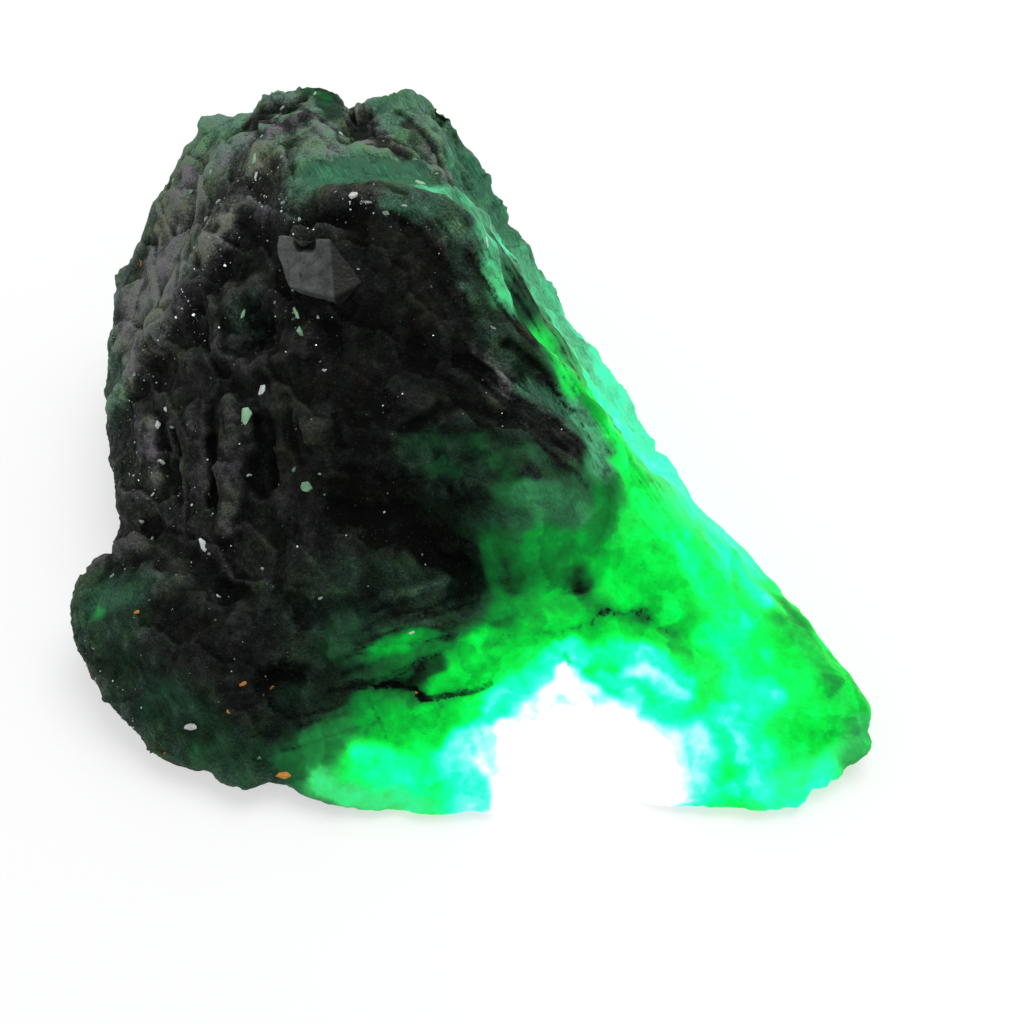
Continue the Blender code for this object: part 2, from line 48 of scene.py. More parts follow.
# The stone's zones. A place of two numbers is a point of the frame, across and down, and means the
# stone seen there; a place of three numbers is in millimetres. After the path come its reach, the
# painted torch glow, an emission that stands in for a torch shining up through the beryl (0 none, 1 white),
# and the paleness (0 black, 1 grey). The paleness also holds painted shading: the wall facing the
# camera and the valley under the shoulder are painted dark, the top shelf and the left flank pale.
zones = {
    # the schist, from the top down
    "knobGlow": ([(241, 114), (252, 106)], 0.5, 0.36, 0.85),
    "knobArc": ([(256, 122), (263, 106), (285, 97), (306, 93)], 0.38, 0.0, 0.3),
    "leftKnob": ([(280, 122), (290, 112), (312, 116)], 0.7, 0.12, 0.84),
    "greenNotch": ([(322, 98), (334, 112)], 0.4, 0.24, 0.2),
    "shelfDark": ([(360, 125), (385, 145)], 0.7, 0.06, 0.55),
    "shelfGrey": ([(290, 140), (330, 150), (350, 145)], 0.8, 0.1, 0.75),
    "shelfTeal": ([(335, 170), (370, 175), (410, 180)], 1.0, 0.33, 0.98),
    "shelfLeft": ([(208, 165), (225, 150), (240, 140)], 0.7, 0.08, 0.86),
    "rightKnob": ([(385, 98), (405, 100), (432, 105)], 0.8, 0.24, 0.84),
    "rightKnobDark": ([(405, 125), (430, 150), (445, 175)], 0.6, 0.12, 0.6),
    "ridgeTop": ([(262, 140), (255, 165)], 0.9, 0.03, 0.72),
    "ridgeDark": ([(245, 190), (235, 205), (265, 250), (200, 310)], 0.9, 0.0, 0.3),
    "ridgeLump": ([(222, 232), (245, 205)], 0.8, 0.0, 0.68),
    "leftFlank": ([(190, 200), (160, 260), (145, 300), (165, 290)], 1.6, 0.03, 0.9),
    "leftFlankTeal": ([(205, 135), (230, 130)], 0.9, 0.16, 0.85),
    "flankLow": ([(122, 345), (130, 370)], 0.8, 0.04, 0.82),
    "leftBulge": ([(112, 370), (115, 395)], 1.2, 0.14, 0.62),
    "crestDark": ([(410, 215), (445, 228), (465, 255), (472, 290), (490, 335)], 0.7, 0.19, 0.5),
    "crestGreen": ([(385, 207), (412, 210), (434, 217)], 0.45, 0.27, 0.62),
    "underCrest": ([(350, 225), (400, 225), (440, 245)], 0.9, 0.0, 0.22),
    "aboveFeldspar": ([(298, 229), (318, 225), (335, 232)], 0.4, 0.04, 0.28),
    # the wall facing the camera: dark schist, painted darker still as painted shade
    "wallUpper": ([(390, 255), (430, 290), (455, 330)], 1.2, 0.0, 0.18),
    "wall": ([(330, 330), (400, 340), (440, 380)], 2.4, 0.0, 0.14),
    "wallLow": ([(360, 400), (380, 460), (340, 490)], 1.6, 0.0, 0.06),
    "middle": ([(250, 370), (290, 390), (300, 450), (280, 510)], 1.6, 0.02, 0.23),
    "pitFloor": ([(250, 300), (258, 335)], 0.9, 0.13, 0.36),
    "column": ([(231, 410), (235, 450), (232, 500)], 0.6, 0.0, 0.32),
    "leftBlade": ([(152, 430), (156, 478)], 0.6, 0.0, 0.48),
    "leftMiddle": ([(150, 390), (190, 430), (190, 490)], 1.4, 0.0, 0.33),
    "leftLow": ([(140, 540), (190, 530), (240, 540)], 1.4, 0.0, 0.34),
    "lobeTop": ([(98, 600), (130, 590)], 1.0, 0.23, 0.46),
    "lobeSpot": ([(97, 604), (99, 614)], 0.42, 0.46, 0.16),
    "lobe": ([(110, 640), (130, 670)], 1.2, 0.17, 0.38),
    "lobeMiddle": ([(180, 620), (220, 640), (250, 680)], 1.3, 0.05, 0.12),
    "lobeLow": ([(160, 700), (200, 725)], 1.2, 0.2, 0.36),
    "lobeFoot": ([(205, 755), (245, 765)], 0.9, 0.25, 0.36),
    # the green strip down the right side
    "topRim": ([(455, 145), (475, 175), (488, 200)], 0.6, 0.35, 0.95),
    "stripHead": ([(430, 190), (460, 195), (490, 240)], 0.8, 0.47, 0.85),
    "stripInner": ([(492, 275), (508, 300)], 0.7, 0.54, 0.45),
    "stripRimHigh": ([(508, 235), (532, 275), (556, 312)], 0.6, 0.56, 0.62),
    "stripShade": ([(488, 312), (510, 328), (530, 340)], 0.5, 0.17, 0.3),
    "pocket": ([(505, 345), (528, 362), (550, 378)], 0.5, 0.24, 0.34),
    "stripMiddle": ([(545, 335), (562, 362), (575, 388)], 0.5, 0.56, 0.22),
    "stripLens": ([(580, 388), (592, 400), (604, 412)], 0.3, 0.52, 0.0),
    "stripRimMiddle": ([(570, 332), (595, 370), (620, 410)], 0.5, 0.74, 0.4),
    "stripLower": ([(578, 405), (595, 435), (602, 462)], 0.5, 0.46, 0.6),
    "stripVivid": ([(590, 395), (612, 425), (625, 460), (640, 505)], 0.6, 0.62, 0.15),
    "stripRimLow": ([(635, 425), (662, 470), (695, 515)], 0.6, 0.8, 0.32),
    # the shoulder and what lies round it
    "spurGrey": ([(485, 350), (505, 372), (500, 385)], 0.7, 0.1, 0.62),
    "spurTeal": ([(525, 388), (550, 408), (575, 428)], 0.6, 0.29, 0.6),
    "shoulderDark": ([(490, 410), (520, 410), (548, 430), (562, 448)], 0.6, 0.05, 0.32),
    "shoulderTeal": ([(530, 455), (560, 475), (590, 495)], 0.7, 0.27, 0.36),
    "boulder": ([(400, 450), (440, 450), (480, 455), (510, 462)], 1.2, 0.235, 0.22),
    "boulderLow": ([(430, 490), (480, 492)], 0.8, 0.16, 0.16),
    "shoulderStreak": ([(505, 462), (535, 470)], 0.5, 0.13, 0.2),
    "boulderRight": ([(525, 485), (550, 505), (575, 512)], 0.9, 0.35, 0.4),
    "boulderRim": ([(600, 492), (606, 515), (598, 530)], 0.5, 0.34, 0.1),
    "boulderDash": ([(603, 458), (608, 468)], 0.15, -0.1, 0.9),
    "boulderFoot": ([(495, 515), (520, 522)], 0.7, 0.26, 0.4),
    "underBoulder": ([(535, 545), (565, 545), (592, 548)], 0.7, 0.4, 0.1),
    # painted shadow: the valley under the shoulder is coloured black
    "shadedValley": ([(340, 505), (395, 525), (435, 545), (455, 556)], 0.9, 0.0, 0.0),
    "valleyEdge": ([(458, 566), (470, 584)], 0.6, 0.16, 0.05),
    "valleySoft": ([(464, 552), (474, 570), (472, 592)], 0.6, 0.19, 0.1),
    "valleyGreen": ([(490, 548), (502, 568), (514, 584), (524, 576)], 0.7, 0.27, 0.12),
    "slopeTop": ([(360, 590), (400, 590), (440, 595)], 0.9, 0.17, 0.34),
    "slopeMiddle": ([(330, 650), (370, 630), (430, 620), (470, 605)], 0.8, 0.22, 0.3),
    "slopeLow": ([(290, 700), (330, 695)], 1.0, 0.2, 0.24),
    "slopeGreen": ([(378, 646), (408, 636), (435, 628)], 0.5, 0.47, 0.05),
    # the clear beryl, painted to glow as if a torch shone up through it
    "innerGreen": ([(500, 615), (525, 600), (530, 575)], 0.7, 0.38, 0.05),
    "darkKnot": ([(577, 578), (582, 590)], 0.55, 0.26, 0.05),
    "beltLow": ([(555, 610), (580, 600)], 0.6, 0.46, 0.05),
    "beltGreen": ([(605, 575), (640, 590), (680, 600), (650, 555)], 1.0, 0.58, 0.1),
    "beltShade": ([(605, 618), (645, 622)], 0.5, 0.42, 0.0),
    "greenArch": ([(480, 645), (515, 634), (560, 624), (610, 624), (645, 630)], 0.6, 0.52, 0.0),
    "greenArchLeft": ([(460, 665), (465, 705), (430, 735)], 0.7, 0.54, 0.0),
    "greenPatch": ([(432, 685), (462, 668), (492, 652)], 0.4, 0.58, 0.0),
    "crackShade": ([(400, 675), (435, 670)], 0.5, 0.28, 0.1),
    "fieldEdge": ([(680, 540), (705, 580), (730, 620)], 0.8, 0.7, 0.15),
    "rimCyan": ([(715, 540), (742, 568), (765, 596)], 0.6, 0.77, 0.2),
    "field": ([(700, 640), (735, 655), (760, 650)], 0.9, 0.72, 0.1),
    "fieldCyan": ([(745, 625), (740, 700), (725, 725), (770, 685)], 0.8, 0.78, 0.1),
    "tipGreen": ([(785, 650), (800, 690), (815, 725)], 0.9, 0.59, 0.1),
    "tipRim": ([(780, 612), (805, 642), (830, 675), (852, 705)], 0.55, 0.5, 0.2),
    "tipOuter": ([(21.2, -9.7, 4.2), (23.9, -14.7, 4.0), (25.0, -16.7, 3.4)], 0.7, 0.5, 0.15),
    "tipPatch": ([(812, 728), (830, 736)], 0.35, 0.5, 0.05),
    "tipEnd": ([(864, 725), (858, 745), (845, 757)], 0.5, 0.5, 0.3),
    "tipFront": ([(830, 772), (800, 790), (760, 795)], 0.7, 0.74, 0.25),
    "frontRight": ([(770, 760), (740, 785)], 0.7, 0.78, 0.1),
    "cyanHot": ([(692, 735), (706, 752), (700, 775)], 0.7, 0.92, 0.1),
    "cyanSide": ([(735, 735), (740, 765)], 0.6, 0.84, 0.1),
    "cyanPatch": ([(630, 670), (655, 675), (680, 698)], 0.65, 0.93, 0.1),
    "arch": ([(488, 722), (512, 698), (540, 672), (562, 655), (600, 652), (640, 652), (690, 684)], 0.55, 0.78, 0.1),
    "archLow": ([(605, 672), (640, 700), (672, 712)], 0.4, 0.84, 0.1),
    "hotTop": ([(502, 732), (532, 712), (552, 690), (566, 674), (588, 688), (620, 714), (655, 726)], 0.5, 1.0, 0.1),
    "hotApex": ([(562, 666), (571, 688), (588, 704)], 0.42, 1.08, 0.1),
    "hot": ([(520, 750), (600, 738), (645, 748), (655, 780), (600, 800), (530, 790)], 1.5, 1.2, 0.1),
    "hotRight": ([(668, 736), (684, 758), (678, 784)], 0.6, 0.98, 0.1),
    "torchCore": ([(560, 768), (620, 768)], 1.6, 1.35, 0.1),
    "hotLeft": ([(488, 735), (496, 772)], 0.5, 0.96, 0.1),
    "frontCyan": ([(455, 745), (465, 775), (472, 795)], 0.7, 0.84, 0.15),
    "frontGreen": ([(362, 712), (395, 730)], 0.6, 0.45, 0.05),
    "frontLeft": ([(362, 768), (400, 768), (420, 788)], 0.8, 0.7, 0.15),
    "frontStart": ([(292, 760), (318, 740), (340, 722)], 0.7, 0.36, 0.25),
    "frontFoot": ([(322, 782), (365, 798), (420, 804)], 0.5, 0.62, 0.35),
    # out of the camera's sight
    "farWallHigh": ([(-2, 18, 12), (4, 13, 10)], 2.5, 0.46, 0.6),
    "farWall": ([(6, 11, 7), (10, 6, 6)], 2.5, 0.66, 0.6),
    "farWallLow": ([(13, 1, 4), (17, -4, 3)], 2.5, 0.78, 0.5),
    "farFoot": ([(20, -4, 1), (24, -10, 1)], 2.5, 0.7, 0.2),
    "farSide": ([(-20, 19, 6), (-12, 22, 10), (-4, 20, 8)], 4.0, 0.12, 0.5),
    "underside": ([(-15, 8, 0), (-14, -8, 0)], 5.0, 0.05, 0.4),
    "undersideGreen": ([(2, -4, 0), (12, -14, 0)], 5.0, 0.5, 0.2),
}

# Forms raised on the skin or cut into it: path, half width, height, and how dark it is there (dark cracks, painted
# shade in grooves)
forms = {
    # ridges, lumps and hollows of the schist
    "ridgeLine": ([(262, 150), (243, 195), (222, 230), (205, 255), (188, 285), (178, 312), (160, 335), (140, 360),
                   (122, 400)], 1.6, 0.25, 0),
    "ridgeLump": ([(212, 245), (235, 220)], 1.3, 0.3, 0),
    "knobRidge": ([(254, 128), (264, 108), (285, 100), (308, 95)], 0.5, 0.3, 0),
    "knobCapLeft": ([(-15.2, 20.2, 20.4), (-13.7, 20.7, 20.6)], 1.5, 0.55, 0),
    "knobCap": ([(-12.6, 20.8, 20.9), (-10.9, 20.4, 21.9)], 1.4, 0.6, 0),
    "knobCapRight": ([(-10.0, 20.7, 22.2), (-8.9, 20.3, 22.1)], 1.0, 0.4, 0),
    "knobFace": ([(268, 112), (290, 104), (308, 102)], 1.2, 0.4, 0),
    "notchFill": ([(-7.6, 20.1, 20.6), (-6.3, 20.2, 20.7)], 1.3, 0.8, 0),
    "notchFront": ([(-7.0, 19.1, 21.0), (-6.9, 18.0, 21.2)], 0.9, 0.5, 0),
    "bumpCap": ([(-17.7, 20.5, 19.8), (-17.0, 20.6, 19.9)], 0.9, 0.55, 0),
    "rightKnobLeft": ([(-5.3, 19.5, 21.8), (-4.3, 19.4, 22.0)], 1.1, 0.8, 0),
    "rightKnobCap": ([(-3.6, 20.1, 22.2), (-2.6, 20.4, 21.8)], 1.2, 0.45, 0),
    "rightKnobTrim": ([(-1.5, 20.6, 21.7), (-1.0, 21.3, 20.9), (-0.5, 20.0, 20.7)], 1.3, -0.9, 0),
    "knobArc": ([(255, 129), (264, 119), (278, 112), (294, 107), (308, 104)], 0.35, -0.22, 0.5),
    "knobNotch": ([(338, 104), (346, 118), (354, 132)], 0.4, -0.08, 0.2),
    "shelfSwoop": ([(310, 122), (345, 142), (385, 152)], 0.6, 0.25, 0),
    "shelfGroove": ([(285, 142), (320, 165), (360, 183), (405, 190)], 0.5, -0.15, 0),
    "shelfHollow": ([(355, 125), (380, 142), (405, 155)], 0.8, -0.3, 0.2),
    "knobGroove": ([(398, 112), (420, 125), (440, 155), (462, 205)], 0.4, -0.25, 0.4),
    "knobEdge": ([(432, 112), (452, 140), (475, 185)], 0.4, 0.15, 0),
    "crest": ([(330, 192), (380, 195), (420, 205), (450, 225), (478, 262), (498, 300)], 0.9, 0.12, 0),
    "crestHollow": ([(350, 225), (400, 230), (434, 255), (450, 295)], 1.5, -0.2, 0),
    "pitFill": ([(247, 312), (252, 332)], 2.2, 0.5, 0),
    "pitRim": ([(288, 280), (295, 310), (290, 335)], 0.8, 0.15, 0),
    "pitArcHigh": ([(228, 338), (252, 347), (278, 338)], 0.3, 0.22, 0),
    "pitArcLow": ([(218, 354), (250, 367), (290, 352)], 0.45, 0.3, 0),
    "pitPost": ([(212, 298), (216, 345)], 0.45, 0.3, 0),
    "pitPostGroove": ([(200, 310), (206, 350)], 0.4, -0.3, 0),
    "column": ([(231, 400), (236, 450), (234, 508)], 0.95, 0.38, 0),
    "columnGrooveLeft": ([(212, 400), (213, 450), (210, 505)], 0.6, -0.4, 0),
    "columnGrooveRight": ([(258, 420), (260, 495)], 0.7, -0.45, 0),
    "columnHook": ([(215, 465), (211, 474), (219, 477)], 0.15, 0.2, 0),
    "leftBlade": ([(152, 425), (157, 480)], 0.8, 0.35, 0),
    "leftBladeGroove": ([(173, 430), (178, 500)], 0.5, -0.4, 0),
    "knob": ([(311, 428), (313, 436)], 1.1, 0.5, 0),
    "knobMoat": ([(288, 412), (286, 440), (300, 462)], 0.5, -0.3, 0),
    "knobMoatRight": ([(337, 415), (342, 445)], 0.5, -0.3, 0),
    "deepPit": ([(270, 445), (274, 485)], 0.6, -0.4, 0),
    "lobePit": ([(225, 585), (228, 612)], 0.6, -0.3, 0),
    "lobeNeck": ([(-23.3, -2.3, 1.8), (-22.9, -4.4, 3.2)], 1.5, 0.65, 0),
    "lobeShoulder": ([(-21.6, -6.9, 6.9), (-20.6, -6.6, 7.1)], 1.3, 1.2, 0),
    "lobeSwellLow": ([(-22.6, -14.0, 3.2), (-22.1, -15.3, 3.1)], 1.3, 0.4, 0),
    "frontSwell": ([(-14.1, -20.9, 1.5), (-9.4, -21.4, 1.2), (-7.7, -21.9, 0.9)], 1.5, 0.25, 0),
    "tipSwell": ([(24.6, -19.4, 1.6), (22.8, -20.7, 1.3), (21.2, -21.9, 0.9)], 1.6, 0.3, 0),
    "lobeSwell": ([(90, 555), (72, 590), (70, 620), (78, 655)], 1.5, 0.45, 0),
    "rustPit": ([(258, 688), (280, 674)], 0.4, -0.25, 0.1),
    "lobeGroove": ([(128, 540), (170, 558), (232, 595)], 1.2, -0.3, 0),
    "paleHook": ([(316, 592), (313, 600), (317, 608)], 0.15, 0.2, 0),
    # the shoulder
    "boulder": ([(425, 468), (470, 472), (540, 490)], 2.8, 0.6, 0),
    "boulderRim": ([(606, 478), (614, 505), (610, 530), (598, 546)], 0.22, -0.25, 0.3),
    "boulderTop": ([(400, 432), (440, 411), (480, 408), (525, 420), (562, 448)], 0.7, -0.3, 0),
    "spur": ([(440, 365), (480, 392), (540, 428), (592, 480)], 0.7, 0.2, 0),
    "spurHigh": ([(470, 345), (510, 385), (560, 420), (600, 462)], 0.5, 0.2, 0),
    "spurGroove": ([(455, 365), (500, 398), (550, 425)], 0.3, -0.15, 0),
    "pocket": ([(508, 342), (528, 358), (548, 374)], 0.45, -0.35, 0.5),
    "pocketLow": ([(540, 376), (560, 395), (575, 412)], 0.25, -0.15, 0.7),
    "stripSeam": ([(470, 255), (490, 290), (512, 322), (535, 345)], 0.2, -0.15, 0.7),
    "stripSlim": ([(478, 175), (515, 230), (552, 282), (588, 340), (625, 400), (655, 450)], 3.2, -1.2, 0),
    "wallSlimHigh": ([(2.0, 18.2, 17.6), (3.4, 16.3, 16.5), (4.1, 15.0, 15.7)], 1.8, -0.65, 0),
    "wallSlim": ([(6.0, 12.6, 14.2), (7.2, 11.8, 13.1), (7.8, 11.0, 12.0)], 1.8, -0.6, 0),
    "wallSlimLow": ([(12.8, 5.0, 6.5), (14.0, 3.9, 5.2)], 1.5, -0.4, 0),
    "topSlim": ([(440, 110), (455, 138), (480, 178)], 1.7, -0.85, 0),
    # the valley under the shoulder, cut in; its zone paints its shadow black
    "shadedValley": ([(345, 515), (400, 535), (450, 562), (490, 585)], 1.2, -0.35, 0),
    # streaks of the lower slope, rising to the right
    "slopeRidgeHigh": ([(350, 612), (410, 592), (470, 578)], 0.7, 0.22, 0),
    "slopeGrooveHigh": ([(340, 635), (400, 615), (480, 590)], 0.3, -0.12, 0.25),
    "slopeRidge": ([(330, 655), (400, 632), (470, 612)], 0.5, 0.2, 0),
    "slopeGroove": ([(345, 672), (400, 655), (440, 640), (475, 632)], 0.25, -0.15, 0.35),
    "slopeGrooveLow": ([(330, 690), (378, 686), (405, 680), (425, 662), (455, 648)], 0.25, -0.15, 0.35),
    # cracks in the green
    "crack": ([(418, 695), (430, 699), (455, 696), (478, 690), (490, 684)], 0.22, -0.15, 0.85),
    "crackStart": ([(375, 688), (395, 683), (415, 688), (421, 698)], 0.2, -0.15, 0.7),
    "crackLow": ([(372, 705), (382, 722), (388, 740)], 0.08, -0.1, 0.55),
    "shardEdgeHigh": ([(544, 630), (556, 632), (568, 629), (580, 626)], 0.16, -0.05, 0.55),
    "shardEdge": ([(594, 621), (600, 617), (608, 612)], 0.28, -0.1, 0.7),
    "shardDash": ([(613, 614), (630, 612), (643, 613)], 0.18, -0.05, 0.6),
    "shardBlob": ([(638, 616), (643, 610)], 0.3, -0.05, 0.65),
    "shardEdgeFall": ([(646, 616), (660, 627), (675, 634)], 0.18, -0.05, 0.5),
    "shardStart": ([(488, 648), (500, 640), (514, 632)], 0.26, -0.08, 0.5),
    "beltCrack": ([(562, 593), (578, 592), (590, 590)], 0.12, -0.05, 0.45),
    "greenFurrow": ([(618, 520), (640, 560), (650, 600)], 0.3, -0.15, 0.3),
    "apexSpot": ([(563, 655), (569, 664)], 0.14, -0.05, 0.8),
    "hotCrack": ([(479, 726), (484, 748), (491, 766), (497, 778)], 0.14, -0.05, 0.35),
    "redDot": ([(416, 690), (418, 693)], 0.15, -0.1, 0.8),
}

# Bundles of fine streaks, each between two guide paths with as many corners: how many, half width,
# height, and how dark they are, painted shade in their fine grooves; some are raised and painted pale instead
streaks = {
    "shelfHigh": ([(315, 128), (345, 148), (395, 160)], [(300, 148), (335, 175), (400, 192)], 16, 0.09, -0.05, 0.3),
    "shelfRight": ([(410, 120), (440, 145), (470, 195)], [(395, 140), (420, 165), (455, 215)], 12, 0.09, -0.05, 0.35),
    "crest": ([(340, 185), (420, 198), (480, 255)], [(335, 205), (405, 225), (460, 290)], 16, 0.09, -0.05, 0.4),
    "stripHigh": ([(480, 190), (520, 255), (560, 325)], [(450, 215), (485, 275), (525, 335)], 30, 0.08, -0.06, 0.6),
    "stripMiddle": ([(545, 310), (590, 380), (630, 440)], [(520, 340), (565, 400), (605, 465)], 30, 0.08, -0.06, 0.6),
    "stripLow": ([(615, 410), (660, 480), (700, 545)], [(605, 465), (635, 515), (680, 570)], 26, 0.07, -0.05, 0.5),
    "spur": ([(470, 345), (540, 398), (605, 462)], [(450, 380), (520, 425), (588, 490)], 26, 0.09, -0.07, 0.6),
    "wallRight": ([(440, 265), (480, 320), (510, 345)], [(420, 290), (455, 345), (480, 365)], 10, 0.1, -0.06, 0.4),
    "slope": ([(340, 618), (410, 598), (480, 585)], [(350, 665), (405, 650), (470, 622)], 26, 0.09, -0.06, 0.5),
    "slopeLow": ([(350, 665), (410, 648), (470, 625)], [(345, 700), (390, 690), (440, 660)], 22, 0.09, -0.06, 0.5),
    "lobeFoot": ([(230, 720), (300, 712), (360, 700)], [(240, 755), (310, 745), (370, 725)], 12, 0.09, -0.05, 0.4),
}

stone = {
    "voxel": 0.2,  # grain of the skin
    "smoothing": 3,
    "triangles": 196000,
    "lumpSize": 2.8, "lumpHeight": 0.17,
    "crumbSize": 0.45, "crumbHeight": 0.06,
    "pitSize": 0.8, "pitDepth": 0.15, "pitReach": 0.3, "pitShare": 0.3,
    "grainSize": 0.45, "grainHeight": 0.07,
    "facetSize": 2.8, "facetHeight": 0.2,
    "streakSeed": 5, "paleShare": 0.3,  # the streaks: how many of them are pale
    "fibreAcross": 0.45, "fibreAlong": 5.0, "fibreHeight": 0.07,
    "fibreWay": (0.49, -0.745, -0.445),  # along the green strip
    "warpSize": 2.2, "warp": 0.5,  # how far the zones' borders wander
    "crustEnd": (0.1, 0.2),  # the light between which the dark crust gives way to beryl
    "smoothFrom": 0.45, "smoothTo": 0.75,  # the palest schist is smoother
    "depthShare": 0.35,  # how much depth counts in the distance to a form
    "wear": 0.35,  # how far the forms wander, as a share of their width
    # painted shade: how strongly bumps are painted paler and hollows darker
    "bulgeGain": 5.0, "hollowGain": 1.6, "hollowRounds": 60,
    "tones": {"cloud": (2.4, 0), "patch": (1.5, 40), "warmth": (2.2, 80), "rust": (3.0, 120)},  # size, start
    "shardSize": 1.9,
}


def viewAxes():
    # the camera's place in millimetres, its line of sight and the frame's upward direction
    lift = math.radians(view["elevation"])
    sight = Vector((0, math.cos(lift), -math.sin(lift)))
    return Vector(view["look"]) - sight * view["distance"], sight, Vector((0, math.sin(lift), math.cos(lift)))


def solidTree():
    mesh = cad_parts["raw_emerald"].data
    points = [vert.co / mm for vert in mesh.vertices]
    return BVHTree.FromPolygons(points, [list(face.vertices) for face in mesh.polygons])


def seenAt(place, tree=None):
    # the point of the solid that is seen at a point of the frame; beside the outline, the nearest one
    tree = tree or solid
    if len(place) == 3:
        return place
    eye, sight, up = viewAxes()
    reach = view["sensor"] / view["lens"] / view["frame"]
    half = view["frame"] / 2
    ray = sight + Vector((1, 0, 0)) * (place[0] - half) * reach - up * (place[1] - half) * reach
    hit = tree.ray_cast(eye, ray.normalized())[0]
    return tuple(hit or tree.find_nearest(eye + ray * view["distance"])[0])


def seenPath(path):
    return np.array([seenAt(place) for place in path])


def finePath(path, step=8):
    # the same path with many more corners, so that it keeps to the skin
    fine = [path[0]]
    for start, end in zip(path[:-1], path[1:]):
        count = max(1, math.ceil(math.dist(start, end) / step))
        for part in range(1, count + 1):
            fine.append(tuple(a + (b - a) * part / count for a, b in zip(start, end)))
    return seenPath(fine)


def onPath(path, share):
    # the place at a share of the way along a path
    place = share * (len(path) - 1)
    corner = min(int(place), len(path) - 2)
    return tuple(a + (b - a) * (place - corner) for a, b in zip(path[corner], path[corner + 1]))


def streakForms():
    # each streak takes a short stretch of the way, somewhere between its two guides
    draw = random.Random(stone["streakSeed"])
    made = []
    for upper, lower, count, halfWidth, height, darkness in streaks.values():
        for _ in range(count):
            side = draw.random()
            start = draw.uniform(0, 0.75)
            end = min(1, start + draw.uniform(0.12, 0.4))
            ends = [onPath([onPath(pair, side) for pair in zip(upper, lower)], share) for share in (start, end)]
            tone = -0.4 if draw.random() < stone["paleShare"] else 1
            made.append((ends, halfWidth * draw.uniform(0.6, 1.3), height * tone, darkness * tone))
    return made


def pathDistance(points, corners):
    # how far each point is from a line through the corners
    nearest = np.linalg.norm(points - corners[0], axis=1)
    for start, end in zip(corners[:-1], corners[1:]):
        along = end - start
        if not along.any():
            continue
        share = np.clip((points - start) @ along / (along @ along), 0, 1)
        nearest = np.minimum(nearest, np.linalg.norm(points - start - share[:, None] * along, axis=1))
    return nearest


def zoneFields(points):
    # each zone pulls on the skin near it, so the painted glow and the paleness, with its painted shading, change
    # smoothly between zones
    total = np.zeros(len(points))
    light = np.zeros(len(points))
    paleAndPaintedShading = np.zeros(len(points))
    for path, reach, zoneLight, zonePaleAndShading in zones.values():
        near = pathDistance(points, seenPath(path)) / reach
        weight = 1 / (near * near + 0.2) ** 2
        total += weight
        light += weight * zoneLight
        paleAndPaintedShading += weight * zonePaleAndShading
    return light / total, paleAndPaintedShading / total


def smoothStep(low, high, values):
    share = np.clip((values - low) / (high - low), 0, 1)
    return share * share * (3 - 2 * share)


def meshArray(mesh, field):
    values = np.empty(len(mesh.vertices) * 3, np.float32)
    mesh.vertices.foreach_get(field, values)
    return values.reshape(-1, 3).astype(float)


def setPoints(mesh, points):
    mesh.vertices.foreach_set("co", (points * mm).astype(np.float32).ravel())
    mesh.update()


def setAttribute(mesh, name, values):
    made = mesh.attributes.new(name, "FLOAT", "POINT")
    made.data.foreach_set("value", values.astype(np.float32))


def attributeArray(mesh, name):
    values = np.empty(len(mesh.vertices), np.float32)
    mesh.attributes[name].data.foreach_get("value", values)
    return values.astype(float)


def linked(name, mesh):
    piece = bpy.data.objects.new(name, mesh)
    bpy.context.scene.collection.objects.link(piece)
    return piece


def pieceFrom(shape, name):
    mesh = bpy.data.meshes.new(name)
    shape.to_mesh(mesh)
    shape.free()
    return linked(name, mesh)


def applied(piece):
    # works the piece's modifiers into its mesh
    graph = bpy.context.evaluated_depsgraph_get()
    mesh = bpy.data.meshes.new_from_object(piece.evaluated_get(graph))
    piece.modifiers.clear()
    piece.data = mesh
    return mesh


def neighbourMean(mesh, values, rounds):
    # the average over each point's neighbours, taken several times
    edges = np.empty(len(mesh.edges) * 2, np.int32)
    mesh.edges.foreach_get("vertices", edges)
    first, second = edges.reshape(-1, 2).T
    size = len(values)
    count = np.bincount(first, minlength=size) + np.bincount(second, minlength=size)
    for _ in range(rounds):
        columns = []
        for column in values.T:
            near = np.bincount(first, column[second], size) + np.bincount(second, column[first], size)
            columns.append(near / np.maximum(count, 1))
        values = np.stack(columns, 1)
    return values


def stoneNoise(points):
    # the raw forms of the skin at each point, before they are weighed
    fibreTurn = Vector(stone["fibreWay"]).to_track_quat("Z", "Y").to_matrix().transposed()
    across, along = 1 / stone["fibreAcross"], 1 / stone["fibreAlong"]
    fibreFrame = Matrix.Diagonal((across, across, along)) @ fibreTurn
    forms = {name: np.empty(len(points)) for name in ("lump", "crumb", "pit", "fine", "facet", "fibre")}
    drift = np.empty_like(points)
    for index, place in enumerate(points):
        at = Vector(place)
        drift[index] = noise.turbulence_vector(at / stone["warpSize"], 3, False)
        forms["lump"][index] = noise.fractal(at / stone["lumpSize"], 0.9, 2.0, 4)
        near = noise.voronoi(at / stone["crumbSize"])[0]
        forms["crumb"][index] = near[1] - near[0]
        hole, centres = noise.voronoi(at / stone["pitSize"])
        kept = noise.cell(centres[0] * 7.3) * 0.5 + 0.5 < stone["pitShare"]
        forms["pit"][index] = hole[0] if kept else 1
        forms["fine"][index] = noise.fractal(at / stone["grainSize"], 0.8, 2.0, 2)
        middle = noise.voronoi(at / stone["facetSize"])[1][0]
        forms["facet"][index] = (at / stone["facetSize"] - middle).dot(noise.cell_vector(middle * 3.1))
        forms["fibre"][index] = noise.noise(fibreFrame @ at)
    return forms, drift


